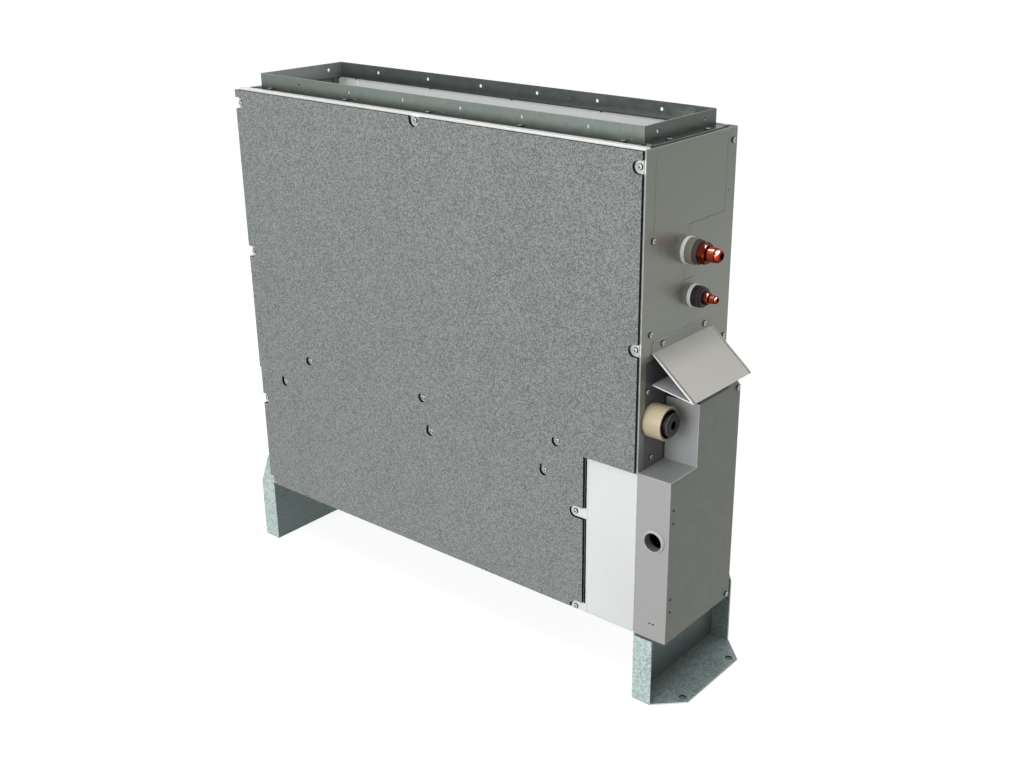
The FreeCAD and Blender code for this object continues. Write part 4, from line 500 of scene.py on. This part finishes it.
# The terminal box is one folded sheet, screwed over the lower part of the pipe side. Painted
# light makes its front and its tops paler than its side, and a painted shadow of the drip hood
# lies along the top of its side. Its small holes and the brackets behind them are painted dark
# as shade, and its edges carry a painted highlight. The supply cable goes through a ribbed
# grommet to a terminal block inside.
box_sheet = zinc_sheet("box_sheet", tone("6C6F67"), tone("62655C"), metal=0.3)
box_x, box_y, box_z = box_sheet.facing()
box_spot = box_sheet.spot()
box_low, box_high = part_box("terminal_box_shell")
box_front_lit = box_sheet.towards(-box_y, 0.8, 0.95)
box_notch_lit = box_sheet.ramp(box_spot[1], box_low.y + 0.02, box_low.y + 0.03) * box_front_lit
# Painted light: the front and the notch's back wall are paler than the side, and so are the
# tops.
repaint(box_sheet, box_front_lit, tone("A6A6A5"))
repaint(box_sheet, box_notch_lit, tone("A3A5A5"))
repaint(box_sheet, box_sheet.towards(box_z, 0.8, 0.95), tone("949696"))
painted_edge_highlight(box_sheet, tone("BAB9B6"))
hood_shade_front = 0.020
hood_shade_back = 0.036
# A painted shadow of the drip hood along the top of the box side.
hood_shadow_band = box_sheet.ramp(box_spot[2], box_high.z - 0.0056, box_high.z - 0.0050)
hood_shadow_band = hood_shadow_band * box_sheet.fall(box_spot[1], hood_shade_front, hood_shade_back)
repaint(box_sheet, hood_shadow_band, tone("060606"))
small_hole_inset = 0.0087
small_hole_radius = 0.0020
highest_small_hole = 0.300
# Painted shade in the small holes.
small_hole_off = abs(box_spot[1] - box_low.y - small_hole_inset)
small_hole_shade = box_sheet.fall(small_hole_off, small_hole_radius, small_hole_radius + 0.0004)
small_hole_shade = small_hole_shade * box_sheet.fall(abs(box_x), 0.4, 0.6)
small_hole_shade = small_hole_shade * box_sheet.fall(
    box_spot[2], highest_small_hole, highest_small_hole + 0.005
)
repaint(box_sheet, small_hole_shade, tone("0B0B0B"))
# The brackets behind the holes are painted near black as shade.
shaded_bracket_sheet = zinc_sheet("shaded_bracket_sheet", tone("2C2D2C"), tone("1F201F"), metal=0.2)
finish_nodes(shaded_bracket_sheet, "terminal_box_brackets")
folded("terminal_box_shell", box_sheet, "box_sheet", wide_bevel)


def moulded(name, dark, pale, roughness, specular=0.5, *, cloud):
    """Plastic, rubber or paint that drifts between two tones."""
    finish = Finish(name, roughness, specular=specular)
    finish.cloud = finish.noise(cloud, 3.0)
    finish.face = finish.mix(finish.cloud, dark, pale)
    finish.feed("Base Color", finish.face)
    return finish


white_plastic = moulded("white_plastic", tone("F0F0EC"), tone("FDFDFA"), 0.4, cloud=90.0)
white_plastic.bump(white_plastic.noise(1500.0), 0.00003, 0.3)
finish_nodes(white_plastic, "terminal_block")
grey_plastic = moulded("grey_plastic", tone("B9B8B7"), tone("CCCBCA"), 0.5, cloud=120.0)
grey_plastic.bump(grey_plastic.noise(1500.0), 0.00004, 0.4)


def turned(form, outline, centre, axis, steps):
    """Sweeps an outline once round an axis."""
    bmesh.ops.spin(
        form,
        geom=outline,
        cent=centre,
        axis=axis,
        dvec=(0.0, 0.0, 0.0),
        angle=2.0 * math.pi,
        steps=steps,
        use_merge=True,
        use_duplicate=False,
    )


def spun(profile, centre, axis, steps):
    """A closed ring or knob, turned about an axis from (distance along it, radius) points."""
    form = bmesh.new()
    for along, radius in profile:
        form.verts.new(centre + axis * along + Vector((0.0, 0.0, radius)))
    points = list(form.verts)
    for pair in zip(points, points[1:] + points[:1]):
        form.edges.new(pair)
    turned(form, form.verts[:] + form.edges[:], centre, axis, steps)
    bmesh.ops.remove_doubles(form, verts=form.verts, dist=weld_distance)
    bmesh.ops.recalc_face_normals(form, faces=form.faces)
    return form


def soften(form, width, segments=3):
    """Rounds the sharp edges of a form."""
    least_turn = math.radians(30.0)
    shared = [edge for edge in form.edges if edge.is_manifold]
    sharp = [edge for edge in shared if edge.calc_face_angle() > least_turn]
    bevelled(form, sharp, width, segments, clamp=True)


def middle(node):
    """The middle of a CAD node's box."""
    low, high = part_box(node)
    return (low + high) / 2.0


along_y = Vector((0.0, 1.0, 0.0))
grommet_centre = middle("cable_grommet")
grommet_centre.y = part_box("cable_grommet")[0].y
grommet_rim = 0.0155
grommet_tube = 0.0130
grommet_bore = 0.0119
between_ribs = 0.0124
grommet_back = 0.0100
grommet_profile = [
    (-0.0014, 0.0125),
    (-0.0018, 0.0128),
    (-0.0018, 0.0134),
    (-0.0012, 0.0142),
    (0.0002, 0.0152),
    (0.0009, grommet_rim),
    (0.0015, grommet_rim),
    (0.0015, grommet_tube),
    (0.0025, grommet_tube),
    (0.0025, 0.0145),
    (0.0045, 0.0140),
    (0.0045, grommet_tube),
    (grommet_back, grommet_tube),
    (grommet_back, grommet_bore),
]
rib_pitch = 0.0022
rib_count = 5
for i in range(rib_count):
    groove_back = grommet_back - 0.0016 - rib_pitch * i
    groove_front = groove_back - 0.0011
    grommet_profile += [(groove_back, grommet_bore), (groove_back - 0.0002, between_ribs)]
    grommet_profile += [(groove_front + 0.0002, between_ribs), (groove_front, grommet_bore)]
grommet_spot = grey_plastic.spot()
grommet_off = from_axis(
    grommet_spot[0] - grommet_centre.x, grommet_spot[2] - grommet_centre.z
)
# Painted shade inside the grommet's bore.
repaint(grey_plastic, grey_plastic.fall(grommet_off, 0.0125, 0.0127), tone("686867"))
grommet = spun(grommet_profile, grommet_centre, along_y, steps=56)
soften(grommet, 0.0001, segments=2)
finished("cable_grommet_moulding", grommet, grey_plastic, "grey_plastic", "cable_grommet")


# The control box stands behind a smooth white coated cover, held by two ears. Its steel tray
# carries the circuit board with its capacitors, relays and heat sink.
cover_paint = Finish("white_coating", roughness=0.3)
cover_cloud = cover_paint.noise(7.0, 2.0)
cover_paint.bump(cover_paint.noise(300.0, 2.0), 0.00002, 0.3)
cover_paint.face = cover_paint.mix(cover_cloud, tone("E8EAE9"), tone("F0F2F1"))
# Painted highlight along the cover's folds and edges.
painted_edge_highlight(cover_paint, tone("FAFBFA"))
folded("control_box_cover", cover_paint, "white_paint", wide_bevel)
finish_nodes(cabinet_sheet, "control_box_housing")
board = Finish("board_lacquer", roughness=0.28)
board_upright = board.place(turn=(math.radians(90.0), 0.0, 0.0))
board_pattern = {"Vector": board_upright, "Scale": 160.0, "Mortar Size": 0.06}
board_track = board.node("TexBrick", {"offset": 0.5}, board_pattern, "Fac")
board.feed("Base Color", board.mix(board_track, tone("2C5A3E"), tone("6B8F5C")))
board.bump(board_track, 0.00005, 0.5)
finish_nodes(board, "circuit_board")
dark_plastic = moulded("dark_plastic", tone("202124"), tone("34353A"), 0.5, cloud=80.0)
dark_plastic.bump(dark_plastic.noise(1200.0), 0.00005, 0.5)
finish_nodes(dark_plastic, "board_components", "expansion_valve_coil", "filter_frame")


# The drip hood is bent from pale coated sheet and screwed over the drain, so that water runs
# clear of the box. Its sides are hemmed. Painted shade lies along the hems and below the top
# fold and dulls the flange, painted light brightens the top faces, and the bare cut front edges
# carry a painted highlight. A plate closes the drain window under it; it is painted dark as
# shade, darkest at the top under the hood.
hood_sheet = zinc_sheet("hood_sheet", tone("CDCBC4"), tone("C3C1B9"), metal=0.2)
hood_x, hood_y, hood_z = hood_sheet.facing()
hood_deep, hood_height = hood_sheet.spot()[1:]
hood_low, hood_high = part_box("drip_hood")
hood_flange = 0.0142
hood_hem = 0.0034
hood_fold = hood_high.z - hood_flange
hood_side = (hood_deep - hood_low.y).maths("MINIMUM", hood_high.y - hood_deep)
hem_shade_line = hood_sheet.fall(abs(hood_side - hood_hem), 0.0006, 0.0012)
near_fold_shade = hood_sheet.ramp(hood_height, hood_fold - 0.022, hood_fold)
below_fold_glint = hood_sheet.fall(hood_height, hood_fold - 0.0004, hood_fold)
# Painted shade along the hems, below the fold and on the flange; painted light on the top faces.
repaint(hood_sheet, hem_shade_line, tone("4A4A46"))
repaint(hood_sheet, 0.75 * near_fold_shade, tone("A3A29B"))
repaint(hood_sheet, hood_sheet.towards(hood_x, 0.9, 0.97), tone("8A8D84"))
repaint(hood_sheet, hood_sheet.towards(hood_z, 0.95, 0.99), tone("D6D8DE"))
# Painted highlight on the front-facing cut edges below the fold.
repaint(hood_sheet, below_fold_glint * hood_sheet.towards(-hood_y), tone("FAFAF7"))
finish_nodes(hood_sheet, "drip_hood")
# The window plate is painted dark as shade, lighter towards its foot.
shaded_window_sheet = zinc_sheet("shaded_window_sheet", tone("554F54"), tone("484347"), metal=0.2)
window_low, window_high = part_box("drain_window_plate")
window_foot_light = shaded_window_sheet.fall(shaded_window_sheet.spot()[2], window_low.z, window_high.z)
repaint(shaded_window_sheet, 0.6 * window_foot_light, tone("77737A"))
finish_nodes(shaded_window_sheet, "drain_window_plate")


# The drain pan is a moulded tray under the coil. Its beige socket comes out through the side
# and is shut for carriage with a soft black plug, which has a blind hole to pull it by.
along_x = Vector((1.0, 0.0, 0.0))
beige_plastic = moulded("beige_plastic", tone("BBAE8D"), tone("CABEA0"), 0.38, cloud=70.0)
socket_low, socket_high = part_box("drain_socket")
socket_centre = middle("drain_socket")
socket_centre.x = side_plane
socket_bore = 0.0175
socket_neck = 0.0195
socket_collar = 0.0215
socket_flange = 0.0225
socket_out = beige_plastic.facing()[0]
socket_y, socket_z = beige_plastic.spot()[1:]
socket_off = from_axis(socket_y - socket_centre.y, socket_z - socket_centre.z)
socket_rim_glint = beige_plastic.ramp(socket_out, 0.2, 0.4)
socket_rim_glint = socket_rim_glint * beige_plastic.fall(socket_out, 0.75, 0.9)
socket_bore_shade = beige_plastic.fall(socket_off, socket_bore + 0.0005, socket_bore + 0.0011)
# Painted shade on the socket's end face and in its bore, a painted highlight on its rim.
repaint(beige_plastic, beige_plastic.towards(socket_out, 0.85, 0.95), tone("786C52"))
repaint(beige_plastic, socket_rim_glint, tone("F3ECD8"))
repaint(beige_plastic, socket_bore_shade, tone("17140F"))
beige_plastic.bump(beige_plastic.noise(900.0), 0.00004, 0.3)
socket_back = socket_low.x - side_plane
socket_mouth = socket_high.x - side_plane
socket_profile = [
    (socket_back, socket_bore),
    (socket_back, socket_flange),
    (socket_back + 0.004, socket_flange),
    (socket_back + 0.004, socket_neck),
    (-0.0012, socket_neck),
    (-0.0012, socket_collar),
    (socket_mouth, socket_collar),
    (socket_mouth, socket_bore),
]
socket = spun(socket_profile, socket_centre, along_x, steps=80)
soften(socket, 0.0007)
finished("drain_socket_moulding", socket, beige_plastic, "beige_plastic", "drain_socket")
finish_nodes(dark_plastic, "drain_pan")
plug_rubber = moulded("plug_rubber", tone("101011"), tone("1D1C1F"), 0.42, 0.2, cloud=140.0)
plug_low, plug_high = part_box("drain_plug")
plug_out = plug_rubber.facing()[0]
plug_side_shade = plug_rubber.fall(plug_rubber.spot()[0], plug_high.x - 0.0034, plug_high.x - 0.0026)
plug_rim_glint = plug_rubber.ramp(plug_out, 0.25, 0.45) * plug_rubber.fall(plug_out, 0.7, 0.9)
# Painted shade on the plug's side in the gap, a painted highlight on its rounded rim.
repaint(plug_rubber, plug_side_shade, tone("060606"))
repaint(plug_rubber, 0.5 * plug_rim_glint, tone("6C6B70"))
plug_rubber.bump(plug_rubber.noise(1100.0, 3.0), 0.00006, 0.4)
plug_centre = socket_centre.copy()
plug_centre.x = plug_low.x
plug_length = plug_high.x - plug_low.x
plug_grip = 0.0174
plug_head = 0.0153
plug_hole = 0.0056
plug_hole_depth = 0.012
plug_profile = [
    (0.0, 0.0),
    (0.0, plug_grip),
    (0.009, plug_grip),
    (0.0116, plug_head),
    (plug_length - 0.0028, plug_head),
    (plug_length - 0.0021, 0.0151),
    (plug_length - 0.0011, 0.0145),
    (plug_length - 0.0004, 0.0136),
    (plug_length, 0.0126),
    (plug_length, plug_hole),
    (plug_length - plug_hole_depth, plug_hole),
    (plug_length - plug_hole_depth, 0.0),
]
plug = spun(plug_profile, plug_centre, along_x, steps=64)
soften(plug, 0.0005)
finished("drain_plug_moulding", plug, plug_rubber, "black_rubber", "drain_plug")


# The gas pipe comes out in a beige foam sleeve with a dark end cap and the liquid pipe in a
# black rubber one. White moulded rings close the holes in the side plate round them.
foam = Finish("beige_foam", roughness=0.85)
foam_cap_length = 0.0056
foam_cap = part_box("gas_pipe_sleeve")[1].x - foam_cap_length
foam_capped = foam.ramp(foam.spot()[0], foam_cap, foam_cap + 0.0004)
foam_cell = foam.noise(900.0, 3.0, 0.7)
foam_face = foam.mix(foam_cell, tone("747064"), tone("918C7E"))
foam_dark = foam.mix(foam_cell, tone("393735"), tone("504D49"))
foam.feed("Base Color", foam.mix(foam_capped, foam_face, foam_dark))
foam.bump(foam_cell, 0.0002, 0.5)
finish_nodes(foam, "gas_pipe_sleeve")
black_rubber = moulded("black_rubber", tone("1F1E20"), tone("302E32"), 0.5, 0.3, cloud=140.0)
repaint(black_rubber, black_rubber.ramp(black_rubber.cloud, 0.55, 0.7), tone("353337"))
black_rubber.bump(black_rubber.noise(1100.0, 3.0), 0.00006, 0.4)
finish_nodes(black_rubber, "liquid_pipe_sleeve", "motor_mounts")
ring_height = 0.005
rings = bmesh.new()
for node, inner, outer in (
    ("gas_flare_union", 0.0159, 0.017),
    ("liquid_flare_union", 0.0134, 0.0145),
):
    ring_centre = middle(node)
    ring_centre.x = side_plane
    ring_profile = [(0.0, inner), (0.0, outer), (ring_height, outer), (ring_height, inner)]
    ring = spun(ring_profile, ring_centre, along_x, steps=72)
    soften(ring, 0.00045)
    one_ring = bpy.data.meshes.new("one_ring")
    ring.to_mesh(one_ring)
    ring.free()
    rings.from_mesh(one_ring)
finished("pipe_ring_mouldings", rings, white_plastic, "white_plastic", "pipe_rings")


# Each pipe ends in a flare union of red brass: a forged hexagon, a rolled thread for the
# flare nut, a groove and a polished domed nose. The pipe is brazed into its back.
copper = Finish("drawn_copper", metallic=1.0)
copper_stain = copper.noise(60.0, 4.0, 0.6)
copper.feed("Base Color", copper.mix(copper_stain, tone("C77A52"), tone("E39A70")))
copper.feed("Roughness", 0.2 + 0.2 * copper_stain)
finish_nodes(copper, "gas_pipe", "liquid_pipe", "feed_pipe", "coil_return_bends", "gas_header")
red_brass = Finish("red_brass", metallic=1.0)
brass_stain_and_sheen = red_brass.noise(320.0, 4.0, 0.6)
brass_x, brass_y, brass_z = red_brass.facing()
# Painted shade and painted highlights, set by which way each surface faces.
brass_lit = 0.6 * brass_z - 0.6 * brass_y + 0.3 * brass_stain_and_sheen
brass_shine = 0.62 * brass_z - 0.6 * brass_y + 0.42 * brass_x + 0.2 * brass_stain_and_sheen
brass_shade = red_brass.ramp(brass_lit, 0.0, 0.95)
brass_glint = red_brass.ramp(brass_shine, 0.94, 1.03)
brass_face = red_brass.mix(brass_shade, tone("380904"), tone("BE4835"))
red_brass.feed("Base Color", red_brass.mix(brass_glint, brass_face, tone("FFE6D6")))
red_brass.feed("Roughness", 0.1 + 0.1 * brass_stain_and_sheen)
finish_nodes(red_brass, "expansion_valve_body")


def open_edges(form):
    """The edges round the openings of a form."""
    return [edge for edge in form.edges if edge.is_boundary]


def flare_union(name, node, hexagon, thread, crest, bore, pitch):
    """Keeps the hexagon of a CAD union and turns the rest: thread, groove and domed nose."""
    low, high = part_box(node)
    centre = (low + high) / 2.0
    centre.x = 0.0
    shoulder = low.x + hexagon
    cut = shoulder + 0.0007
    thread_start = shoulder + 0.0019
    thread_end = shoulder + thread
    thread_runout = 0.0006
    nose_start = thread_end + 0.0008
    nose_reach = high.x - nose_start
    nose_radius = crest - 0.0005
    nose_fall = nose_radius - bore - 0.0008
    groove = crest - 0.0014
    root = crest - 0.36 * pitch
    union = welded(node)
    whole = union.verts[:] + union.edges[:] + union.faces[:]
    bmesh.ops.bisect_plane(
        union, geom=whole, plane_co=(cut, 0.0, 0.0), plane_no=along_x, clear_outer=True
    )
    bmesh.ops.bridge_loops(union, edges=open_edges(union))
    profile = [
        (cut, bore),
        (cut, groove),
        (shoulder + 0.0016, groove),
        (thread_start, root),
        (thread_end - thread_runout, root),
        (thread_end, groove),
        (thread_end + 0.0005, groove),
        (thread_end + 0.0005, crest - 0.0009),
    ]
    for degrees in range(0, 105, 15):
        turn = math.radians(degrees)
        along = nose_start + nose_reach * math.sin(turn)
        profile.append((along, nose_radius - nose_fall * (1.0 - math.cos(turn))))
    profile.append((high.x, bore))
    barrel = spun(profile, centre, along_x, steps=72)
    steps_round = 36
    thread_length = thread_end - thread_runout - thread_start - pitch
    count = round(thread_length / pitch * steps_round)
    foot = root - 0.0002
    ridge = [
        (thread_start, foot),
        (thread_start + 0.45 * pitch, crest),
        (thread_start + 0.9 * pitch, foot),
    ]
    corners = [barrel.verts.new(centre + Vector((x, 0.0, radius))) for x, radius in ridge]
    sides = [barrel.edges.new(pair) for pair in zip(corners, corners[1:] + corners[:1])]
    bmesh.ops.spin(
        barrel,
        geom=corners + sides,
        cent=centre,
        axis=along_x,
        dvec=(pitch / steps_round, 0.0, 0.0),
        angle=2.0 * math.pi * count / steps_round,
        steps=count,
        use_merge=False,
        use_duplicate=False,
    )
    bmesh.ops.holes_fill(barrel, edges=open_edges(barrel), sides=4)
    bmesh.ops.recalc_face_normals(barrel, faces=barrel.faces)
    turned_part = bpy.data.meshes.new("turned_part")
    barrel.to_mesh(turned_part)
    barrel.free()
    union.from_mesh(turned_part)
    finished(name, union, red_brass, "brass", node)


flare_union(
    "gas_union_turning",
    "gas_flare_union",
    hexagon=0.010,
    thread=0.012,
    crest=0.0095,
    bore=0.0043,
    pitch=0.0016,
)
flare_union(
    "liquid_union_turning",
    "liquid_flare_union",
    hexagon=0.0065,
    thread=0.008,
    crest=0.0055,
    bore=0.0024,
    pitch=0.00127,
)


# The coil is a slanted stack of aluminium fins on copper tubes, held between two zinc-coated
# end plates. A pale foam lining is glued to the back wall behind it. The lining glows faintly as
# painted light, because hardly any light falls on it through the duct opening.
def stripes(along, pitch):
    """Waves from -1 to 1 along one direction, one wave to each pitch."""
    return (along * (2.0 * math.pi / pitch)).wave()


fins = Finish("fin_aluminium", metallic=0.8)
fin_line = stripes(fins.spot()[0], 0.0018)
fin_tint = fins.noise(30.0, 3.0)
fins.feed("Base Color", fins.mix(fin_tint, tone("A9AEB2"), tone("D0D4D8")))
fins.feed("Roughness", 0.35 + 0.1 * fin_tint)
fins.bump(fin_line, 0.0002, 0.7)
finish_nodes(fins, "coil_fins")
finish_nodes(cabinet_sheet, "coil_end_plates")
pale_foam = Finish("pale_foam", roughness=0.9)
pale_cell = pale_foam.noise(700.0, 3.0, 0.7)
pale_foam.feed("Base Color", pale_foam.mix(pale_cell, tone("ECF0EE"), tone("F9FCFA")))
pale_foam.bump(pale_cell, 0.0003, 0.5)
# Painted light: the lining glows faintly.
pale_foam.shader.inputs["Emission Color"].default_value = tone("EFF2F0")
pale_foam.shader.inputs["Emission Strength"].default_value = 0.22
finish_nodes(pale_foam, "back_liner")


# Two fan wheels share one shaft with the motor between them. The scroll casings and their
# inlet rings are pressed from zinc-coated sheet; the wheels are moulded in black plastic.
finish_nodes(cabinet_sheet, "scroll_casing_left", "scroll_casing_right", "motor_bracket")
finish_nodes(cabinet_sheet, "inlet_rings")
finish_nodes(dark_plastic, "impeller_left", "impeller_right")
ground_steel = Finish("ground_steel", metallic=0.9)
ground_line = ground_steel.noise(40.0, 3.0, 0.5, ground_steel.place(stretch=(25.0, 1.0, 1.0)))
ground_steel.feed("Base Color", ground_steel.mix(ground_line, tone("9A9B9C"), tone("C2C3C4")))
ground_steel.feed("Roughness", 0.22 + 0.16 * ground_line)
finish_nodes(ground_steel, "fan_shaft", "motor_bearings")
winding = Finish("laminations", roughness=0.5)
winding_line = stripes(winding.spot()[0], 0.0012)
winding.feed("Base Color", winding.mix(0.5 + 0.5 * winding_line, tone("3A2A20"), tone("6B4B35")))
winding.bump(winding_line, 0.0001, 0.5)
finish_nodes(winding, "motor_rotor", "motor_stator")
motor_paint = moulded("motor_paint", tone("303338"), tone("464A50"), 0.4, cloud=120.0)
motor_paint.bump(motor_paint.noise(600.0), 0.00006, 0.5)
finish_nodes(motor_paint, "motor_shell")


# The air filter is a woven plastic mesh in a moulded frame, which slides out to the front on
# two rails under the cabinet.
mesh_pitch = 0.0016
weave = Finish("filter_weave", roughness=0.6)
weave_x, weave_y = weave.spot()[:2]
thread = stripes(weave_x, mesh_pitch).maths("MAXIMUM", stripes(weave_y, mesh_pitch))
weave.feed("Base Color", weave.mix(weave.ramp(thread, 0.0, 1.0), tone("1C1E20"), tone("4A4E52")))
weave.feed("Alpha", thread.over(-0.1))
weave.bump(thread, 0.0002, 0.6)
finish_nodes(weave, "filter_mesh")


# The sheets are held by zinc-plated pan-head screws with a cross recess. One screw is shaped
# here and stands at each place where the CAD nodes have one, each turned a little further.
screw_zinc = Finish("screw_zinc", metallic=0.45)
screw_stain = screw_zinc.noise(500.0, 2.0)
# Painted highlight on the flat tops of the heads; the rest of each head is painted dark as
# shade.
flat_attribute = {"attribute_type": "GEOMETRY", "attribute_name": "flat"}
screw_lit_top = screw_zinc.node("Attribute", flat_attribute, None, 2)
screw_face = screw_zinc.mix(screw_stain, tone("A6A8A7"), tone("DCDDDD"))
screw_zinc.feed("Base Color", screw_zinc.mix(screw_lit_top, tone("252726"), screw_face))
screw_zinc.feed("Roughness", 0.2 + 0.15 * screw_stain)
shank_radius = 0.0019
head_height = 0.0022
head_radius = 0.0038
recess_half = 0.00042
recess_reach = 0.0019
recess_depth = 0.0012
recess_taper = 0.6
dome_drop = 0.0001
crown = [
    (-0.005, 0.0012),
    (-0.004, shank_radius),
    (0.0, shank_radius),
    (0.0, head_radius),
    (0.0009, head_radius),
    (0.0014, 0.0036),
    (0.0018, 0.0032),
    (0.0020, 0.0027),
]
up = Vector((0.0, 0.0, 1.0))
screw = bmesh.new()
outline = [screw.verts.new((radius, 0.0, height)) for height, radius in crown]
for pair in zip(outline, outline[1:]):
    screw.edges.new(pair)
turned(screw, screw.verts[:] + screw.edges[:], (0.0, 0.0, 0.0), up, steps=24)
shank_end = [edge for edge in open_edges(screw) if edge.verts[0].co.z < 0.0]
bmesh.ops.holes_fill(screw, edges=shank_end, sides=24)
quarter = [
    Vector((recess_half, recess_reach, head_height - dome_drop)),
    Vector((recess_half, recess_half, head_height)),
    Vector((recess_reach, recess_half, head_height - dome_drop)),
]
cross = []
for i in range(4):
    turn = Matrix.Rotation(math.radians(-90.0 * i), 3, "Z")
    cross += [screw.verts.new(turn @ corner) for corner in quarter]
rim = [screw.edges.new(pair) for pair in zip(cross, cross[1:] + cross[:1])]
crown_top = [edge for edge in open_edges(screw) if edge.verts[0].co.z > 0.0]
bmesh.ops.bridge_loops(screw, edges=rim + crown_top)
sunk = bmesh.ops.extrude_edge_only(screw, edges=rim)["geom"]
sunk_points = [item for item in sunk if isinstance(item, bmesh.types.BMVert)]
bmesh.ops.translate(screw, verts=sunk_points, vec=(0.0, 0.0, -recess_depth))
bmesh.ops.scale(screw, verts=sunk_points, vec=(recess_taper, recess_taper, 1.0))
bmesh.ops.holes_fill(screw, edges=open_edges(screw), sides=12)
bmesh.ops.recalc_face_normals(screw, faces=screw.faces)
flat = screw.faces.layers.float.new("flat")
flat_from = 0.0018
for face in screw.faces:
    if face.normal.z > 0.9 and face.calc_center_median().z > flat_from:
        face[flat] = 1.0
screw_mesh = bpy.data.meshes.new("one_screw")
screw.to_mesh(screw_mesh)
screw.free()


def solids(node):
    """The separate solids of a CAD node, each as a list of points."""
    form = welded(node)
    found = []
    reached = set()
    for start in form.verts:
        if start in reached:
            continue
        reached.add(start)
        group = [start]
        for point in group:
            for edge in point.link_edges:
                other = edge.other_vert(point)
                if other not in reached:
                    reached.add(other)
                    group.append(other)
        found.append([point.co.copy() for point in group])
    form.free()
    return found


def screw_place(points):
    """Where one CAD screw sits: its head stands out along its shortest side."""
    low = Vector([min(point[i] for point in points) for i in range(3)])
    high = Vector([max(point[i] for point in points) for i in range(3)])
    seat = (low + high) / 2.0
    axis = min(range(3), key=lambda i: high[i] - low[i])
    wide = []
    for point in points:
        away = point - seat
        away[axis] = 0.0
        if away.length > 0.8 * head_radius:
            wide.append(point[axis])
    side = 1.0 if sum(wide) / len(wide) > seat[axis] else -1.0
    out = Vector((0.0, 0.0, 0.0))
    out[axis] = side
    seat[axis] = (high if side > 0.0 else low)[axis] - side * head_height
    return seat, out


turn_of_each = 0.9
for node in ("front_screws", "side_screws", "collar_screws", "leg_screws"):
    screw_set = bmesh.new()
    for number, points in enumerate(solids(node)):
        seat, out = screw_place(points)
        upright = out.to_track_quat("Z", "Y").to_matrix().to_4x4()
        spin = Matrix.Rotation(turn_of_each * number, 4, "Z")
        one = bmesh.new()
        one.from_mesh(screw_mesh)
        place = Matrix.Translation(seat) @ upright @ spin
        bmesh.ops.transform(one, matrix=place, verts=one.verts)
        copy = bpy.data.meshes.new("screw_copy")
        one.to_mesh(copy)
        one.free()
        screw_set.from_mesh(copy)
    finished(node + "_turned", screw_set, screw_zinc, "screw_zinc", node)
